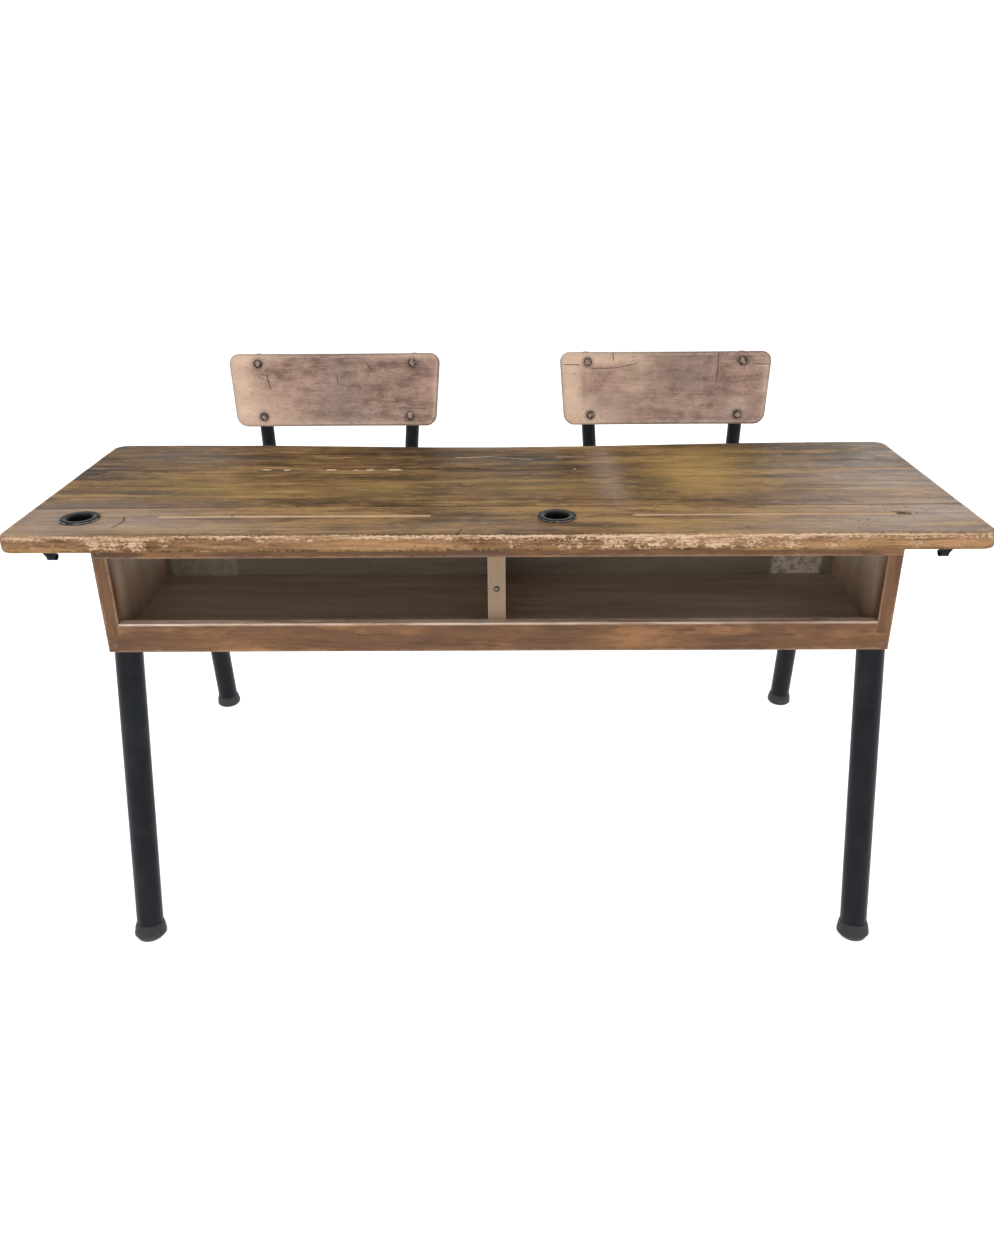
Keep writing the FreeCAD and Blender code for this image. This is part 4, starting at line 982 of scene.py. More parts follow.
# Where lines of points lie, as shares of a worn arris, and how far the painted shade along the bottom of
# the front edge climbs up it
ARRIS_SHARES = np.array([0.3, 1.0, 2.0])
UNDER_SHADE_SHARE = 0.15


def ridge(distance, width):
    """A soft ridge: exp of minus the square of the distance in units of the width."""
    return np.exp(-(distance / width) ** 2)


def spots(across, back, places):
    """Sum of soft spots, capped at 1."""
    total = np.zeros(np.broadcast(across, back).shape)
    for x, y, wide, deep, strength in places:
        total = total + strength * bell(across, back, (x, y), (wide, deep))
    return np.clip(total, 0, 1)


def along_noise(across, scale, seed, octaves=3, row=0.0):
    """Noise that changes only along the length."""
    return cloud_noise(across * scale, across * 0 + row, seed, octaves)


def outline_distance(over_across, over_back, radius):
    """Distance inwards from a rectangle with round corners.

    The two excesses are how far a point lies beyond the square that the centres of the corners make.
    """
    outside = np.hypot(np.maximum(over_across, 0), np.maximum(over_back, 0))
    return radius - outside - np.minimum(np.maximum(over_across, over_back), 0)


def corner_pull(along, low, high, radius):
    """How much narrower a board with round corners is at a place along it: r less the root of r squared
    less the square of how far the place lies into a corner."""
    into_low = np.clip(radius - (along - low), 0, radius)
    into_high = np.clip(radius - (high - along), 0, radius)
    into = np.maximum(into_low, into_high)
    return radius - np.sqrt(np.maximum(radius ** 2 - into ** 2, 0))


def edge_distance(across, back, depth, radius):
    """Distance in plan from the rounded outline of the top, inwards."""
    return outline_distance(np.abs(across) - TOP_HALF + radius,
                            np.abs(back - depth / 2) - depth / 2 + radius, radius)


def collar_place(name):
    """Centre of an inkwell: its place across, and its distance from the front edge of the top."""
    low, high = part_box("inkwell_collar_" + name)
    return (low.x + high.x) / 2, (low.y + high.y) / 2 - TOP_FRONT


def groove_ends():
    """Ends across of each pen groove, worked out from the inkwell beside it."""
    ends = []
    for name, start in (("left", -TOP_HALF), ("right", 0.0)):
        ends.append((collar_place(name)[0] + GROOVE_ROOM, start + TOP_HALF - GROOVE_REACH[name]))
    return ends


def groove_depth(across, back, radius):
    """Depth of the pen grooves: a half round of the radius, with round ends."""
    depth = np.zeros(np.broadcast(across, back).shape)
    for start, end in groove_ends():
        beyond = np.maximum(np.maximum(start + radius - across, across - end + radius), 0)
        squared = beyond ** 2 + (back - GROOVE_LINE) ** 2
        depth = np.maximum(depth, np.sqrt(np.maximum(radius ** 2 - squared, 0)))
    return depth


def chip_amount(across):
    """How chipped the front edge is along its length: soft bumps at the chips and a little noise."""
    amount = 0.35 * np.maximum(along_noise(across, 42, 31) - 0.45, 0) / 0.55
    for middle, half, depth in CHIPS:
        amount = np.maximum(amount, depth * np.exp(-((across - middle) / half) ** 4))
    return amount * (0.6 + 0.8 * along_noise(across, 260, 7, 2, 3.5))


def plank_lines(start, end, sizes, inkwells):
    """Distances from the front edge at which a plank has its lines of points."""
    marks = [np.array([start, end])]
    inner = [start, end]
    if start == 0:
        marks.append(round_spacing(sizes.top_round))
        marks.append(sizes.top_round + ARRIS_STEP * np.arange(1, 4))
        inner[0] = sizes.top_round + ARRIS_STEP * 3
    else:
        marks.append(start + ARRIS_SHARES * sizes.joint_arris)
        inner[0] = start + 2 * sizes.joint_arris
    if inkwells:
        middle = inkwells[0][1]
        marks.append(np.linspace(middle - HOLE_RADIUS, middle + HOLE_RADIUS, 17))
        marks.append(GROOVE_LINE + sizes.groove_radius * np.linspace(-1, 1, 11))
        marks.append(lines_between(inner[0], middle - HOLE_RADIUS, sizes.grid_step))
        inner[0] = middle + HOLE_RADIUS
    if abs(end - TOP_DEPTH) < MERGE:
        marks.append(end - round_spacing(sizes.top_round))
        inner[1] = end - sizes.top_round
    else:
        marks.append(end - ARRIS_SHARES * sizes.joint_arris)
        inner[1] = end - 2 * sizes.joint_arris
    marks.append(lines_between(inner[0], inner[1], sizes.grid_step))
    return thinned(np.concatenate(marks))


def thinned(values):
    """Sorted values with those that nearly coincide dropped; the first and last stay."""
    values = np.unique(np.round(values, 6))
    kept = [values[0]]
    for value in values[1:-1]:
        if value - kept[-1] > LEAST_GAP and values[-1] - value > LEAST_GAP:
            kept.append(value)
    kept.append(values[-1])
    return np.array(kept)


def plank_columns(sizes, inkwells):
    """Places across at which a plank has its columns of points."""
    ends = TOP_HALF - round_spacing(sizes.top_round)
    marks = [ends, -ends]
    edges = [-TOP_HALF + sizes.top_round]
    for centre, middle in inkwells:
        edges += [centre - HOLE_RADIUS, centre + HOLE_RADIUS]
        marks.append(np.linspace(centre - HOLE_RADIUS, centre + HOLE_RADIUS, 17))
    edges.append(TOP_HALF - sizes.top_round)
    for start, end in zip(edges[::2], edges[1::2]):
        marks.append(lines_between(start, end, sizes.grid_step))
    return thinned(np.concatenate(marks))


def top_heights(across, back, sizes, joints):
    """Height of the upper face: rounded at the outline, cut by grooves and joints, and sagging."""
    distance = edge_distance(across, back, TOP_DEPTH, sizes.corner_radius)
    uneven = 0.75 + 0.6 * cloud_noise(across * 30, back * 30, 11)
    height = TOP_UPPER - rolled(distance, sizes.top_round * np.clip(uneven, 0.7, 1.0))
    height = height - groove_depth(across, back, sizes.groove_radius)
    for joint in joints:
        worn = sizes.joint_arris * (0.5 + 1.1 * along_noise(across, 14, 5, row=joint * 90))
        height = height - np.maximum(worn - np.abs(back - joint), 0) * 0.9
    height = height - chip_amount(across) * sizes.chip_depth * ridge(back, CHIP_REACH)
    height = height - GRAIN_DEPTH * cloud_noise(across * 3.5, back * 90, 17)
    height = height - DENT_DEPTH * cloud_noise(across * 18, back * 22, 23)
    into_sag = (back / TOP_DEPTH - SAG_START_SHARE) / (1 - SAG_START_SHARE)
    return height - SAG * ridge(across, SAG_HALF_LENGTH) * np.clip(into_sag, 0, 1) ** 2


def top_masks(across, back, sizes, joints):
    """Masks of the upper face: rubbed, amber, stained, puttied and dirty places, painted sheen, and
    painted shade and a painted highlight in the pen grooves.
    """
    distance = edge_distance(across, back, TOP_DEPTH, sizes.corner_radius)
    rub = ridge(back - FRONT_RUB_PLACE, FRONT_RUB_WIDTH)
    rub = rub * np.clip(0.50 + 0.9 * along_noise(across, 20, 41), 0, 1)
    rub = np.maximum(rub, ridge(back, CHIP_BARE_REACH) * np.clip(chip_amount(across), 0, 1))
    rub = np.maximum(rub, 0.30 * ridge(distance - OUTLINE_RUB_WIDTH, OUTLINE_RUB_WIDTH))
    edge = ridge(np.maximum(distance, 0), EDGE_REACH)
    groove = np.clip(groove_depth(across, back, sizes.groove_radius) / sizes.groove_radius * 3.0, 0, 1)
    # Painted shadow on the near wall of each pen groove, stronger towards the right; the rest of the
    # groove carries a painted highlight
    behind_wall = GROOVE_LINE - GROOVE_SHADE_SHARE * sizes.groove_radius - back
    near_wall = np.clip(behind_wall / GROOVE_WALL_FADE + 0.5, 0, 1)
    dirt = groove * near_wall * np.clip(0.75 + across, 0.45, 0.95)
    line = ridge(back - sizes.top_round - 2 * ARRIS_STEP, FRONT_DIRT_WIDTH)
    dirt = np.maximum(dirt, 0.7 * line * np.clip(1.8 * along_noise(across, 8, 59) - 0.35, 0, 1))
    filler = np.zeros_like(rub)
    for joint in joints:
        openness = along_noise(across, 7, 47, row=joint * 50)
        near = ridge(back - joint, JOINT_DIRT_WIDTH)
        dirt = np.maximum(dirt, near * np.clip(openness * 2.0 - 0.40, 0.20, 0.9))
    if joints[-1] > 0.5 * TOP_DEPTH:
        patchy = np.clip(cloud_noise(across * 140, back * 180, 53) * 2.2 - 0.25, 0, 1)
        patchy = patchy * ridge(back - joints[-1], PUTTY_WIDTH)
        for start, end in PUTTY:
            within = np.clip(np.minimum(across - start, end - across) / PUTTY_FADE, 0, 1)
            filler = np.maximum(filler, within * patchy)
    return {"rub": rub, "dirt": dirt, "filler": filler, "edge": edge, "groove": groove * (1 - near_wall),
            "haze": spots(across, back, SHEEN_SPOTS), "amber": spots(across, back, AMBER_SPOTS),
            "stain": spots(across, back, STAIN_SPOTS)}


def loop_of(grid):
    """The border of a grid of points as one closed loop, row by row."""
    top = grid[0, :-1]
    right = grid[:-1, -1]
    bottom = grid[-1, :0:-1]
    left = grid[:0:-1, 0]
    return np.concatenate([top, right, bottom, left])


def walls_between(high, low, rows):
    """Rows of points evenly spread between two loops, and the share of each row."""
    share = np.linspace(0, 1, rows)[:, None, None]
    return high[None] * (1 - share) + low[None] * share, share[..., 0]


def snap_round(across, back, centre, middle):
    """Moves the border points of the square round an inkwell onto its circle, keeping their bearing."""
    dx = across - centre
    dy = back - middle
    reach = np.maximum(np.abs(dx), np.abs(dy))
    length = np.maximum(np.hypot(dx, dy), MERGE)
    on_border = np.abs(reach - HOLE_RADIUS) < MERGE * 2
    scale = np.where(on_border, HOLE_RADIUS / length, 1.0)
    return centre + dx * scale, middle + dy * scale, reach


def build_plank(node, start, end, joints, material, sizes, inkwells=()):
    """A plank as a closed skin: upper and lower sheets, and walls round its border and its holes."""
    lines = plank_lines(start, end, sizes, inkwells)
    columns = plank_columns(sizes, inkwells)
    share, back = np.meshgrid(columns / TOP_HALF, lines)
    across = share * (TOP_HALF - corner_pull(back, 0, TOP_DEPTH, sizes.corner_radius))
    inside = np.zeros(across.shape, bool)
    for centre, middle in inkwells:
        across, back, reach = snap_round(across, back, centre, middle)
        inside |= reach < HOLE_RADIUS - MERGE * 2
    upper = np.stack([across, TOP_FRONT + back, top_heights(across, back, sizes, joints)], axis=-1)
    distance = edge_distance(across, back, TOP_DEPTH, sizes.corner_radius)
    low_height = TOP_UNDER + rolled(distance, sizes.under_round)
    lower = np.stack([across, TOP_FRONT + back, low_height], axis=-1)
    shape = Shape()
    faces = grid_faces(*across.shape)
    open_faces = faces[~inside.reshape(-1)[faces].any(axis=1)]
    shape.add(upper, open_faces, **top_masks(across, back, sizes, joints))
    shape.add(lower, open_faces, dirt=0.15, rub=0.0)
    add_plank_walls(shape, upper, lower, sizes, start)
    for centre, middle in inkwells:
        add_hole_wall(shape, upper, lower, across, back, centre, middle)
    shape.finish(node + "_wood", material, "top_wood", [node])


def add_plank_walls(shape, upper, lower, sizes, start):
    """Joins the borders of the two sheets; the front face is dented where the edge is chipped."""
    wall, share = walls_between(loop_of(upper), loop_of(lower), 6)
    across = wall[..., 0]
    chips = chip_amount(across)
    grit = cloud_noise(across * 160, wall[..., 2] * 160, 61)
    on_front = np.abs(wall[..., 1] - TOP_FRONT) < MERGE
    if start == 0:
        dent = np.sin(np.pi * share) * (0.5 * chips * sizes.chip_depth + DENT_DEPTH) * grit
        wall[..., 1] += np.where(on_front, dent, 0)
    height = (wall[..., 2] - TOP_UNDER) / (TOP_UPPER - TOP_UNDER)
    flecks = np.clip(chips, 0, 1) * (0.35 + 0.8 * cloud_noise(across * 110, height * 5, 67))
    rare = np.clip(cloud_noise(across * 45, height * 3, 69) * 2.6 - 1.4, 0, 1)
    flecks = np.maximum(flecks, 0.45 * rare)
    # Painted shade: a dark line along the bottom of the front face, where its lower arris is in shade; the
    # dark scars are dirt
    line = ridge(height, UNDER_SHADE_SHARE)
    scars = np.clip(cloud_noise(across * 90, height * 4, 83) * 3.0 - 1.9, 0, 1)
    shape.sheet(wall, wrap_columns=True, rub=np.clip(flecks, 0, 1) * (1 - line),
                dirt=np.maximum(0.60 * line, 0.6 * scars), edge=1.0)


def add_hole_wall(shape, upper, lower, across, back, centre, middle):
    """The wall of an inkwell hole, between the round borders that the sheets leave open."""
    reach = np.hypot(across - centre, back - middle)
    on_border = np.abs(reach - HOLE_RADIUS) < MERGE * 4
    order = np.argsort(np.arctan2(back - middle, across - centre)[on_border])
    wall, share = walls_between(upper[on_border][order], lower[on_border][order], 5)
    shape.sheet(wall, wrap_columns=True, rub=0.3, dirt=0.3)


class DESK_OT_top(bpy.types.Operator):
    """Builds the three worn planks of the desk top"""
    bl_idname = "school_desk.top"
    bl_label = "Desk Top"

    # Name, where its grain starts, scale of its rings and how pale it is
    planks = (
        ("front", (0.3, 4.1, 0.06), 34.0, 0.056), ("middle", (2.7, 1.3, 0.05), 38.0, -0.008),
        ("rear", (5.2, -0.19, -0.70), 46.0, -0.058),
    )

    def execute(self, context):
        sizes = context.scene.desk_sizes
        first = FRONT_HIGH.y - TOP_FRONT
        second = MIDDLE_HIGH.y - TOP_FRONT
        inkwells = [collar_place(name) for name in SIDES]
        spans = ((0.0, first), (first, second), (second, TOP_DEPTH))
        joints = ((first,), (first, second), (second,))
        for number, (name, offset, ring_scale, tone) in enumerate(self.planks):
            finish = top_wood("Top wood " + name, offset, ring_scale, tone, self.lines(CUTS[name]),
                              self.lines(SPLITS[name]))
            build_plank("top_plank_" + name, *spans[number], joints[number], finish, sizes,
                        inkwells if name == "front" else ())
        return {"FINISHED"}

    def lines(self, marks):
        """Cuts or splits as starts and ends on the desk, and widths."""
        return [((start[0], TOP_FRONT + start[1], 0.0), (end[0], TOP_FRONT + end[1], 0.0), width)
                for start, end, width in marks]


# Inkwells

class DESK_OT_inkwells(bpy.types.Operator):
    """Builds the ringed collars and the cups that lift out of them"""
    bl_idname = "school_desk.inkwells"
    bl_label = "Inkwells"

    turns = 96
    # Collar: how far its steps lie inside its flange, and the sizes of its rings
    bore_inset = 0.0061
    sleeve_inset = 0.0037
    seat_inset = 0.0023
    seat_drop = 0.0010
    flange_sink = 0.0004
    ring_radius = 0.0006
    outer_ring_wear = 0.0007
    inner_ring_wear = 0.0004
    # Cup
    cup_wall = 0.0022
    mouth_radius = 0.0165
    mouth_round = 0.0032
    mouth_sink = 0.0001
    mouth_depth = 0.003
    shoulder_depth = 0.003
    rim_edge = 0.0006
    rim_height = 0.0016
    rim_overhang = 0.0038
    groove_inset = 0.0028
    groove_rise = 0.0002
    groove_radius = 0.0009
    base_round = 0.003
    floor_rise = 0.004
    mouth_wear_inset = 0.0036
    mouth_wear_width = 0.0009

    def execute(self, context):
        metal = collar_metal()
        resin = cup_resin()
        for name in SIDES:
            self.build_collar("inkwell_collar_" + name, metal)
            self.build_cup("inkwell_cup_" + name, resin, "inkwell_" + name)
        return {"FINISHED"}

    def build_collar(self, node, metal):
        low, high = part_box(node)
        foot = ((low.x + high.x) / 2, (low.y + high.y) / 2, TOP_UPPER)
        flange = (high.x - low.x) / 2
        rise = high.z - TOP_UPPER
        bore = flange - self.bore_inset
        sleeve = flange - self.sleeve_inset
        seat = flange - self.seat_inset
        ring = self.ring_radius
        outline = [(bore, low.z - TOP_UPPER), (sleeve, low.z - TOP_UPPER), (sleeve, -self.flange_sink),
                   (flange, -self.flange_sink), (flange, rise - ring)]
        outline += arc_profile((flange - ring, rise - ring), ring, 0, 90, 5)[1:]
        outline += arc_profile((seat + ring * 0.8, rise - ring * 0.5), ring * 0.5, 90, 180, 4)
        outline += [(seat, rise - self.seat_drop), (bore, rise - self.seat_drop)]
        points = lathe(outline, foot, (0, 0, 1), self.turns)
        reach = np.hypot(points[..., 0] - foot[0], points[..., 1] - foot[1])
        worn = ridge(reach - flange, self.outer_ring_wear) + ridge(reach - seat, self.inner_ring_wear)
        rub = np.where(points[..., 2] > TOP_UPPER + rise * 0.6, 0.10 + 0.6 * worn, 0.1)
        shape = Shape()
        shape.sheet(points, wrap_rows=True, wrap_columns=True, rub=rub)
        shape.finish(node + "_rings", metal, "collar_metal", [node])

    def build_cup(self, node, resin, body):
        low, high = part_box(node)
        foot = ((low.x + high.x) / 2, (low.y + high.y) / 2, low.z)
        rim = (high.x - low.x) / 2
        tall = high.z - low.z
        outer = rim - self.rim_overhang
        inner = outer - self.cup_wall
        base = self.base_round
        edge = self.rim_edge
        mouth = self.mouth_radius
        lip = self.mouth_round
        throat = tall - self.mouth_depth - self.cup_wall
        outline = [(0.0, 0.0), (outer - base, 0.0)]
        outline += arc_profile((outer - base, base), base, -90, 0, 5)[1:]
        outline += [(outer, tall - self.rim_height), (rim, tall - self.rim_height)]
        outline += arc_profile((rim - edge, tall - edge), edge, 0, 90, 4)
        groove_middle = (rim - self.groove_inset, tall + self.groove_rise)
        outline += arc_profile(groove_middle, self.groove_radius, -20, -160, 5)
        outline += [(mouth + lip - self.mouth_sink, tall - self.mouth_sink)]
        outline += arc_profile((mouth + lip, tall - lip - self.mouth_sink), lip, 95, 180, 7)
        outline += [(mouth, throat), (inner, throat - self.shoulder_depth), (inner, self.floor_rise),
                    (inner - base, self.cup_wall), (0.0, self.cup_wall)]
        points = lathe(outline, foot, (0, 0, 1), self.turns)
        reach = np.hypot(points[..., 0] - foot[0], points[..., 1] - foot[1])
        worn = ridge(reach - mouth - self.mouth_wear_inset, self.mouth_wear_width)
        shape = Shape()
        shape.sheet(points, wrap_columns=True, rub=np.where(points[..., 2] > high.z - edge, worn, 0.0))
        shape.finish(node + "_resin", resin, "cup_resin", [node], body)


# Box of two compartments

def bevelled_copy(node, material, slot, bevel):
    """A copy of a CAD board with its triangles merged into flat faces and its arrises broken."""
    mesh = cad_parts[node].data.copy()
    mesh.name = node + "_board"
    mesh.materials.clear()
    work = bmesh.new()
    work.from_mesh(mesh)
    bmesh.ops.remove_doubles(work, verts=work.verts, dist=MERGE)
    bmesh.ops.dissolve_limit(work, angle_limit=math.radians(1), verts=work.verts, edges=work.edges)
    for face in work.faces:
        face.smooth = False
    work.to_mesh(mesh)
    work.free()
    piece = place(node + "_board", mesh, material, slot, [node], BODY)
    rounding = piece.modifiers.new("Broken arris", "BEVEL")
    rounding.width = bevel
    rounding.segments = 3
    rounding.limit_method = "ANGLE"
    rounding.angle_limit = math.radians(40)
    rounding.harden_normals = False


class DESK_OT_box(bpy.types.Operator):
    """Finishes the rails, end boards, floor, partition, post and lips of the compartments"""
    bl_idname = "school_desk.box"
    bl_label = "Book Compartments"

    # Node, where its grain starts, and whether its grain is upright
    boards = (
        ("box_front_rail", (0.0, 0.7, 0.3), False), ("box_upper_rail", (1.9, 2.2, 4.3), False),
        ("box_end_left", (7.1, 0.2, 1.1), True), ("box_end_right", (3.3, 5.2, 2.4), True),
        ("box_partition", (4.4, 8.0, 0.8), True),
    )
    # Pale patches of painted light on the lips, where light comes through the open back: start and end
    # across, and strength
    patches = ((-0.522, -0.410, 0.22), (0.427, 0.512, 0.8))

    def execute(self, context):
        bevel = context.scene.desk_sizes.board_bevel
        for node, offset, upright in self.boards:
            low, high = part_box(node)
            worn = 0.9 if node == "box_front_rail" else 0.0
            inner = {"box_end_left": high.x, "box_end_right": low.x}.get(node)
            finish = box_wood("Box wood " + node[4:], low, high, offset, upright, worn=worn, inner=inner)
            bevelled_copy(node, finish, "box_wood", bevel)
        low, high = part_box("partition_post")
        post_finish = box_wood("Post wood", low, high, (6.0, 1.0, 7.0), True, bare=0.95)
        bevelled_copy("partition_post", post_finish, "pale_wood", bevel)
        colours = palette()
        bevelled_copy("box_floor", floor_wood("Floor wood", colours.floor_wood), "floor_wood", bevel)
        lip_finish = floor_wood("Lip wood", colours.lip_wood, self.patches)
        for node in ("box_lip_left", "box_lip_right"):
            bevelled_copy(node, lip_finish, "floor_wood", bevel)
        return {"FINISHED"}


# Seats and backrests

class Backrest:
    """Measures of one backrest, taken from its node's box."""

    recline = math.radians(12)
    sagitta = 0.018
    thickness = 0.012
    corner = 0.020
    top_half = 0.203
    bottom_half = 0.1925

    def __init__(self, node):
        points = node_points(node)
        self.middle_x = (points[:, 0].min() + points[:, 0].max()) / 2
        up = np.array([0.0, math.sin(self.recline), math.cos(self.recline)])
        back = np.array([0.0, math.cos(self.recline), -math.sin(self.recline)])
        high = points @ up
        deep = points @ back
        self.span = high.max() - high.min()
        self.up = up
        self.back = back
        self.height = (high.max() + high.min()) / 2
        self.front = deep.max() - self.thickness
        self.radius = (self.top_half ** 2 + self.sagitta ** 2) / (2 * self.sagitta)

    def half_at(self, up):
        """Half the width of the board at a height: it widens evenly from its bottom to its top."""
        return self.bottom_half + (self.top_half - self.bottom_half) * (up / self.span + 0.5)

    def bolts(self, node):
        """Across, up and radius of each bolt head: the bolts sit in the four quarters of the board."""
        points = node_points(node)
        across = points[:, 0] - self.middle_x
        up = points @ self.up - self.height
        found = []
        for right in (across < 0, across > 0):
            for upper in (up < up.mean(), up > up.mean()):
                own_across = across[right & upper]
                own_up = up[right & upper]
                found.append(((own_across.min() + own_across.max()) / 2, (own_up.min() + own_up.max()) / 2,
                              (own_across.max() - own_across.min()) / 2))
        return found

    def place(self, across, up, behind):
        """Place on the desk of a point of the board, given across, up and behind its hollow face."""
        curve = np.sqrt(np.maximum(self.radius ** 2 - across ** 2, 0)) - self.radius
        away = self.front + curve + behind
        points = np.outer(away.reshape(-1), self.back) + np.outer((self.height + up).reshape(-1), self.up)
        points[:, 0] += self.middle_x + across.reshape(-1)
        return points.reshape(across.shape + (3,))


def curved_board(shape, place, half_at, low, high, corner, thickness, rounding, masks_at, step):
    """A thin board with rounded corners and rims: front and back sheets and a rim that shows its plies.

    A point is at share s of the half width at its height, and the half width shortens where a corner is
    round. Both faces drop by a quarter round at the outline, and the rim joins them.
    """
    into_corner = corner * (1 - np.cos(np.linspace(0, math.pi / 2, 9)))
    ups = thinned(np.concatenate([low + round_spacing(rounding), high - round_spacing(rounding),
                                  low + into_corner, high - into_corner,
                                  lines_between(low + corner, high - corner, step)]))
    widest = max(half_at(low), half_at(high))
    ends = 1 - round_spacing(rounding) / widest
    inner_end = 1 - rounding / widest
    shares = thinned(np.concatenate([ends, -ends, lines_between(-inner_end, inner_end, step / widest)]))
    share, up = np.meshgrid(shares, ups)
    half = half_at(up)
    across = share * (half - corner_pull(up, low, high, corner))
    over_up = np.abs(up - (low + high) / 2) - (high - low) / 2 + corner
    distance = np.maximum(outline_distance(np.abs(across) - half + corner, over_up, corner), 0)
    drop = rolled(distance, rounding)
    front = place(across, up, drop)
    rear = place(across, up, thickness - drop)
    masks = masks_at(across, up, distance)
    shape.sheet(front, **masks)
    shape.sheet(rear, rub=masks["rub"] * 0.8)
    wall, depth_share = walls_between(loop_of(front), loop_of(rear), 7)
    shape.sheet(wall, wrap_columns=True, rim=1.0, ply=depth_share)


class DESK_OT_backrests(bpy.types.Operator):
    """Builds the two hollow plywood backrests with their worn rims"""
    bl_idname = "school_desk.backrests"
    bl_label = "Backrests"

    grid_step = 0.003
    # Where the rim is dark or rubbed, and the painted shade round a bolt head, in metres
    rim_width = 0.0022
    rub_inset = 0.0055
    rub_width = 0.0030
    bolt_shade_gap = 0.0004
    bolt_shade_width = 0.0028
    # Soft spots: place across and up, radius across and up, strength
    fades = {
        "left": ((-0.190, 0.000, 0.034, 0.100, 1.0), (-0.130, -0.040, 0.060, 0.050, 0.5),
                 (-0.150, 0.062, 0.060, 0.010, 0.7), (0.140, 0.064, 0.060, 0.008, 0.6),
                 (0.000, -0.064, 0.200, 0.008, 0.5), (0.196, 0.000, 0.012, 0.060, 0.6)),
        "right": ((-0.185, 0.000, 0.036, 0.100, 1.0), (-0.150, -0.055, 0.060, 0.024, 0.9),
                  (-0.120, 0.058, 0.090, 0.016, 0.8), (-0.060, 0.010, 0.060, 0.060, 0.4),
                  (0.150, -0.032, 0.040, 0.016, 0.4), (0.194, 0.000, 0.010, 0.060, 0.5)),
    }
    hazes = {
        "left": ((0.010, -0.010, 0.040, 0.090, 0.8), (0.030, -0.055, 0.060, 0.020, 0.8)),
        "right": ((0.040, 0.030, 0.070, 0.050, 0.6), (-0.110, -0.030, 0.050, 0.020, 0.6),
                  (0.130, -0.050, 0.060, 0.024, 0.7)),
    }
    stains = {
        "left": ((0.152, 0.050, 0.022, 0.008, 0.9), (0.060, 0.066, 0.080, 0.004, 0.4),
                 (0.120, 0.020, 0.050, 0.020, 0.25), (-0.060, 0.060, 0.050, 0.006, 0.3)),
        "right": ((0.142, 0.054, 0.022, 0.008, 0.9), (0.060, 0.062, 0.090, 0.006, 0.5),
                  (-0.155, 0.005, 0.004, 0.034, 0.5), (0.178, -0.030, 0.020, 0.020, 0.5),
                  (0.030, 0.030, 0.060, 0.024, 0.30), (-0.070, -0.030, 0.030, 0.020, 0.25),
                  (0.100, -0.010, 0.030, 0.016, 0.35), (0.000, -0.050, 0.060, 0.010, 0.35)),
    }
    # Start, end and width
    cracks = {
        "left": (((-0.133, 0.030), (-0.127, 0.002), 0.0014), ((0.060, 0.050), (0.068, 0.038), 0.0011),
                 ((0.172, -0.036), (0.120, -0.034), 0.0009), ((0.002, 0.026), (0.003, 0.010), 0.0010)),
        "right": (((0.103, 0.067), (0.101, 0.014), 0.0013), ((-0.195, 0.045), (-0.163, 0.044), 0.0011),
                  ((-0.142, 0.038), (-0.096, 0.038), 0.0011), ((-0.096, 0.038), (-0.052, 0.047), 0.0011),
                  ((-0.100, 0.065), (-0.099, 0.052), 0.0011), ((0.168, 0.044), (0.198, 0.044), 0.0011)),
    }

    def execute(self, context):
        rounding = context.scene.desk_sizes.plywood_round
        for number, name in enumerate(SIDES):
            board = Backrest("backrest_" + name)
            finish = chair_plywood("Backrest plywood " + name, (1.7 + number, 2.9 * number, 0.4),
                                   self.crack_places(board, name))
            shape = Shape()
            curved_board(shape, board.place, board.half_at, -board.span / 2, board.span / 2, board.corner,
                         board.thickness, rounding,
                         lambda across, up, distance: self.masks(name, board, across, up, distance),
                         self.grid_step)
            shape.finish("backrest_" + name + "_plywood", finish, "chair_plywood", ["backrest_" + name])
        return {"FINISHED"}

    def crack_places(self, board, name):
        """The cracks of a backrest as starts and ends on the desk, and widths."""
        found = []
        for start, end, width in self.cracks[name]:
            ends = np.array([start, end])
            placed = board.place(ends[:, 0], ends[:, 1], np.zeros(2))
            found.append((placed[0], placed[1], width))
        return found

    def masks(self, name, board, across, up, distance):
        """A dark rim, a pale band inside it, rings of painted shade round the bolts, patches and stains.
        """
        rub = ridge(distance - self.rub_inset, self.rub_width)
        rub = rub * (0.45 + 0.7 * cloud_noise(across * 40, up * 40, 71))
        ring = ridge(distance, self.rim_width)
        # Painted shade: a dark ring on the board round each domed bolt head
        for bolt_across, bolt_up, radius in board.bolts("backrest_bolts_" + name):
            away = np.hypot(across - bolt_across, up - bolt_up) - radius
            ring = np.maximum(ring, 0.80 * ridge(away - self.bolt_shade_gap, self.bolt_shade_width))
        return {"rub": rub, "ring": ring, "fade": spots(across, up, self.fades[name]),
                "haze": spots(across, up, self.hazes[name]), "stain": spots(across, up, self.stains[name])}


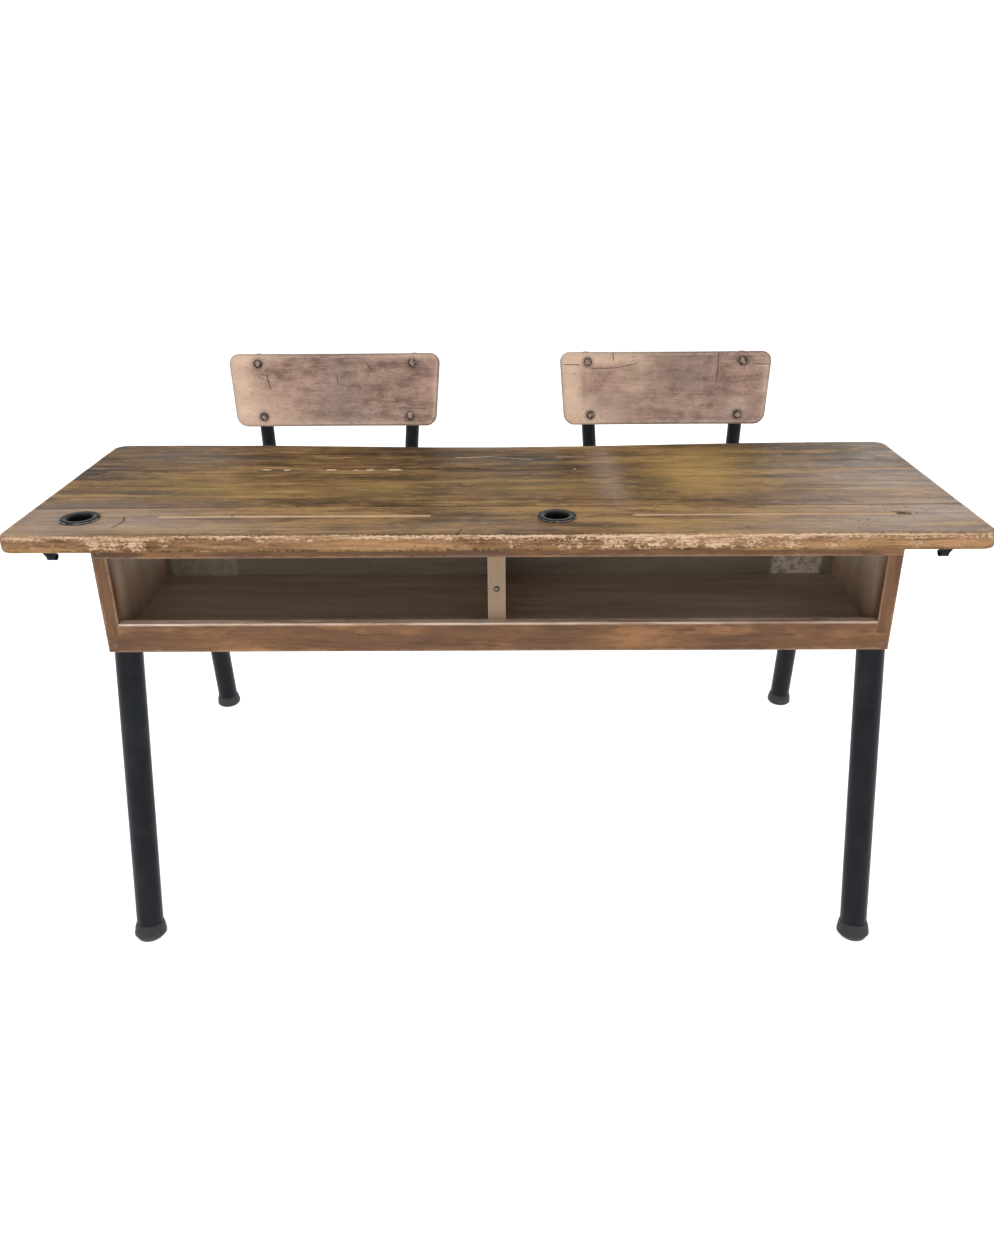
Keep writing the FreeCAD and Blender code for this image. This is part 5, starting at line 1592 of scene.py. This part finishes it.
class Seat:
    """Measures of one seat: a flat middle, a front that rolls down and a rear that turns up."""

    thickness = 0.012
    corner = 0.040
    roll_radius = 0.060
    roll_angle = math.radians(35)
    turn_radius = 0.120
    turn_angle = math.radians(8)

    def __init__(self, node):
        low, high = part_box(node)
        self.middle_x = (low.x + high.x) / 2
        self.half = (high.x - low.x) / 2
        self.front = low.y
        self.rear = high.y
        self.flat_front = self.front + self.roll_radius * math.sin(self.roll_angle)
        self.flat_rear = self.rear - self.turn_radius * math.sin(self.turn_angle)
        self.top = high.z - (self.turn_radius - self.thickness) * (1 - math.cos(self.turn_angle))

    def half_at(self, along):
        """Half the width of the seat, which is the same all along."""
        return self.half + 0 * np.asarray(along)

    def place(self, across, along, below):
        """Place on the desk of a point, given across, along the bent middle line and below the upper face.
        The flat keeps its height, and each end turns about its own axis."""
        flat = np.clip(along, self.flat_front, self.flat_rear)
        y = flat.copy()
        z = self.top - below
        roll = np.clip((self.flat_front - along) / self.roll_radius, 0, None)
        reach = self.roll_radius - below
        y = y - np.where(roll > 0, reach * np.sin(roll), 0)
        z = z - np.where(roll > 0, reach * (1 - np.cos(roll)), 0)
        turn = np.clip((along - self.flat_rear) / self.turn_radius, 0, None)
        lift = self.turn_radius - self.thickness + below
        y = y + np.where(turn > 0, lift * np.sin(turn), 0)
        z = z + np.where(turn > 0, lift * (1 - np.cos(turn)), 0)
        return np.stack([self.middle_x + across, y, z], axis=-1)


class DESK_OT_seats(bpy.types.Operator):
    """Builds the two bent plywood seats"""
    bl_idname = "school_desk.seats"
    bl_label = "Seats"

    grid_step = 0.005
    rim_rub_width = 0.004
    # Soft spots: place across and along, radius across and along, strength. The two marks and the haze are
    # measured from the middle of the seat, and the front mark from its front edge.
    marks = ((-0.085, 0.0, 0.070, 0.080, 0.7), (0.085, 0.0, 0.070, 0.080, 0.7))
    front_mark = ((0.0, 0.04, 0.150, 0.030, 0.5),)
    haze = ((0.02, 0.09, 0.13, 0.03, 0.5),)

    def execute(self, context):
        rounding = context.scene.desk_sizes.plywood_round
        for number, name in enumerate(SIDES):
            seat = Seat("seat_" + name)
            low = seat.flat_front - seat.roll_radius * seat.roll_angle
            high = seat.flat_rear + seat.turn_radius * seat.turn_angle
            finish = chair_plywood("Sitting board plywood " + name, (5.7 + number, 7.9 * number, 2.4))
            shape = Shape()
            curved_board(shape, seat.place, seat.half_at, low, high, seat.corner, seat.thickness, rounding,
                         self.masks, self.grid_step)
            shape.finish("seat_" + name + "_plywood", finish, "chair_plywood", ["seat_" + name])
        return {"FINISHED"}

    def masks(self, across, up, distance):
        """Rub along the rim and two pale places where the pupil sits."""
        middle = (up.max() + up.min()) / 2
        rub = ridge(distance, self.rim_rub_width) * (0.5 + 0.6 * cloud_noise(across * 40, up * 40, 73))
        fade = spots(across, up - middle, self.marks) + spots(across, up - up.min(), self.front_mark)
        return {"rub": rub, "fade": np.clip(fade, 0, 1), "haze": spots(across, up - middle, self.haze)}


# Frame, feet, hooks and fasteners

def dress(material, slot, *nodes):
    """Gives CAD nodes a finish and leaves their shape alone."""
    for name in nodes:
        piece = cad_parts[name]
        if not piece.material_slots:
            piece.data.materials.append(None)
        for holder in piece.material_slots:
            holder.material = material


class DESK_OT_frame(bpy.types.Operator):
    """Paints the tubes, plates, hooks and caps, and rusts the fasteners"""
    bl_idname = "school_desk.frame"
    bl_label = "Frame"

    def execute(self, context):
        tint = palette().enamel
        paint = enamel("Frame enamel", tint, 0.34, 0.13)
        steel_names = ("front_leg", "rear_leg", "seat_rail", "seat_beam", "chair_tube", "top_plate",
                       "leg_spacers")
        tubes = [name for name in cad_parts
                 if name.startswith(steel_names) and "cap" not in name and "screw" not in name]
        dress(paint, "frame_steel", *tubes)
        hook_paint = enamel("Hook enamel", tint, 0.30, 0.26)
        dress(hook_paint, "hook_steel", "satchel_hook_left", "satchel_hook_right")
        plastic = black_plastic()
        dress(plastic, "black_plastic", "seat_rail_cap_left", "seat_rail_cap_right",
              "chair_plugs_left", "chair_plugs_right")
        steel = rusty_steel("Fastener steel", 0.3)
        dress(steel, "fastener_steel", *[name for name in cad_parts
                                         if "screw" in name or "nails" in name or "nuts" in name])
        for name in SIDES:
            bolts = "backrest_bolts_" + name
            crown_highlights = self.crown_highlights(Backrest("backrest_" + name), bolts)
            dress(rusty_steel("Bolt steel " + name, 1.0, crown_highlights), "fastener_steel", bolts)
        dress(cast_iron(), "foot_iron", "foot_front_left", "foot_front_right", "foot_rear_left",
              "foot_rear_right")
        return {"FINISHED"}

    def crown_highlights(self, board, bolts):
        """A short segment across the middle of each bolt head, and the width of the painted highlight on
        its crown.
        """
        found = []
        for across, up, radius in board.bolts(bolts):
            ends = np.array([across - radius * 0.1, across + radius * 0.1])
            placed = board.place(ends, np.array([up, up]), np.zeros(2))
            found.append((placed[0], placed[1], radius * 0.7))
        return found


# Studio

# The picture and the place across of its optical centre, in pixels, and the sensor, in millimetres
PICTURE_WIDTH = 994
PICTURE_HEIGHT = 1237
CENTRE_PIXEL = 501.9
SENSOR_WIDTH = 36.0
# The floor and its wall, in metres, and how brightly they and the sky glow
FLOOR_RADIUS = 6.0
FLOOR_CURVE = 1.0
WALL_HEIGHT = 2.4
FLOOR_GREY = (0.55, 0.55, 0.55, 1.0)
WHITE = (1.0, 1.0, 1.0, 1.0)
FLOOR_GLOW = 0.78
SKY_STRENGTH = 0.22
# Name, place, what it points at, width, height, power in watts, and colour
LIGHTS = (
    ("overhead_light", (0.0, 0.0, 4.0), (0.0, 0.0, 0.0), 6.0, 6.0, 226.0, (1.0, 1.0, 0.99)),
    ("window_light", (2.9, 4.6, 2.2), (0.6, 0.0, 0.75), 1.6, 1.4, 24.0, (0.96, 0.98, 1.0)),
    ("front_light", (-0.7, -3.5, 1.25), (0.0, 0.0, 0.6), 2.6, 0.9, 20.0, (0.97, 0.98, 1.0)),
)


class DESK_OT_studio(bpy.types.Operator):
    """Sets up the floor, the soft lights and the camera"""
    bl_idname = "school_desk.studio"
    bl_label = "Studio"

    def execute(self, context):
        self.build_floor()
        self.build_sky()
        for light in LIGHTS:
            self.add_light(*light)
        self.build_camera(context.scene)
        context.scene.view_settings.view_transform = "Standard"
        return {"FINISHED"}

    def build_floor(self):
        """A wide round floor, pale and lit from within, that curves up into a low wall."""
        outline = [(0.0, 0.0), (FLOOR_RADIUS, 0.0)]
        outline += arc_profile((FLOOR_RADIUS, FLOOR_CURVE), FLOOR_CURVE, -90, 0, 9)[1:]
        outline += [(FLOOR_RADIUS + FLOOR_CURVE, WALL_HEIGHT)]
        points = lathe(outline, (0, 0, 0), (0, 0, 1))
        mesh = bpy.data.meshes.new("studio_floor")
        faces = grid_faces(points.shape[0], points.shape[1], wrap_columns=True)
        mesh.from_pydata(points.reshape(-1, 3).tolist(), [], faces.tolist())
        floor = bpy.data.objects.new("studio_floor", mesh)
        bpy.context.scene.collection.objects.link(floor)
        material, w, shader, spot = new_material("Studio floor")
        settings = {"Base Color": FLOOR_GREY, "Roughness": 1.0, "Specular IOR Level": 0.0,
                    "Emission Color": WHITE, "Emission Strength": FLOOR_GLOW}
        for name, value in settings.items():
            w.feed(shader[name], value)
        mesh.materials.append(material)

    def build_sky(self):
        """An even weak light from all round."""
        world = bpy.data.worlds.new("Studio")
        world.use_nodes = True
        inputs = world.node_tree.nodes["Background"].inputs
        inputs["Color"].default_value = WHITE
        inputs["Strength"].default_value = SKY_STRENGTH
        bpy.context.scene.world = world

    def add_light(self, name, place, target, wide, tall, power, colour):
        """A soft rectangular light that looks from its place at its target."""
        lamp = bpy.data.lights.new(name, "AREA")
        lamp.shape = "RECTANGLE"
        lamp.size = wide
        lamp.size_y = tall
        lamp.energy = power
        lamp.color = colour
        holder = bpy.data.objects.new(name, lamp)
        bpy.context.scene.collection.objects.link(holder)
        holder.location = place
        way = np.subtract(place, target)
        flat = math.hypot(way[0], way[1])
        holder.rotation_euler = (math.atan2(flat, way[2]), 0.0, math.atan2(way[0], -way[1]))

    def build_camera(self, scene):
        """The camera of the photograph: a matrix that turns, tips and rolls it, in that order."""
        studio = scene.desk_studio
        camera = bpy.data.cameras.new("camera")
        camera.sensor_width = SENSOR_WIDTH
        camera.lens = SENSOR_WIDTH * studio.focal_pixels / PICTURE_HEIGHT
        camera.shift_x = (PICTURE_WIDTH / 2 - CENTRE_PIXEL) / PICTURE_HEIGHT
        holder = bpy.data.objects.new("camera", camera)
        scene.collection.objects.link(holder)
        turn = Matrix.Rotation(studio.camera_turn, 4, "Z")
        tip = Matrix.Rotation(math.pi / 2 - studio.camera_down, 4, "X")
        roll = Matrix.Rotation(studio.camera_roll, 4, "Z")
        place = (studio.camera_side, TOP_FRONT - studio.camera_distance, studio.camera_height)
        holder.matrix_world = Matrix.Translation(place) @ turn @ tip @ roll
        scene.camera = holder


OPERATORS = (DESK_OT_studio, DESK_OT_top, DESK_OT_inkwells, DESK_OT_box, DESK_OT_backrests, DESK_OT_seats,
             DESK_OT_frame)


class DESK_PT_panel(bpy.types.Panel):
    """Lists the pieces of the desk and the sizes that can be changed"""
    bl_idname = "DESK_PT_panel"
    bl_label = "School Desk"
    bl_space_type = "VIEW_3D"
    bl_region_type = "UI"
    bl_category = "School Desk"

    def draw(self, context):
        column = self.layout.column()
        for operator in OPERATORS:
            column.operator(operator.bl_idname)
        for settings in (context.scene.desk_sizes, context.scene.desk_colours, context.scene.desk_studio):
            for name in settings.__annotations__:
                column.prop(settings, name)


CLASSES = (DeskSizes, DeskColours, StudioSettings) + OPERATORS + (DESK_PT_panel,)


def register():
    for item in CLASSES:
        bpy.utils.register_class(item)
    bpy.types.Scene.desk_sizes = bpy.props.PointerProperty(type=DeskSizes)
    bpy.types.Scene.desk_colours = bpy.props.PointerProperty(type=DeskColours)
    bpy.types.Scene.desk_studio = bpy.props.PointerProperty(type=StudioSettings)


def unregister():
    del bpy.types.Scene.desk_sizes
    del bpy.types.Scene.desk_colours
    del bpy.types.Scene.desk_studio
    for item in reversed(CLASSES):
        bpy.utils.unregister_class(item)


def main():
    """Builds everything in order."""
    register()
    for operator in OPERATORS:
        group_name, action = operator.bl_idname.split(".")
        getattr(getattr(bpy.ops, group_name), action)()


if __name__ == "__main__":
    main()
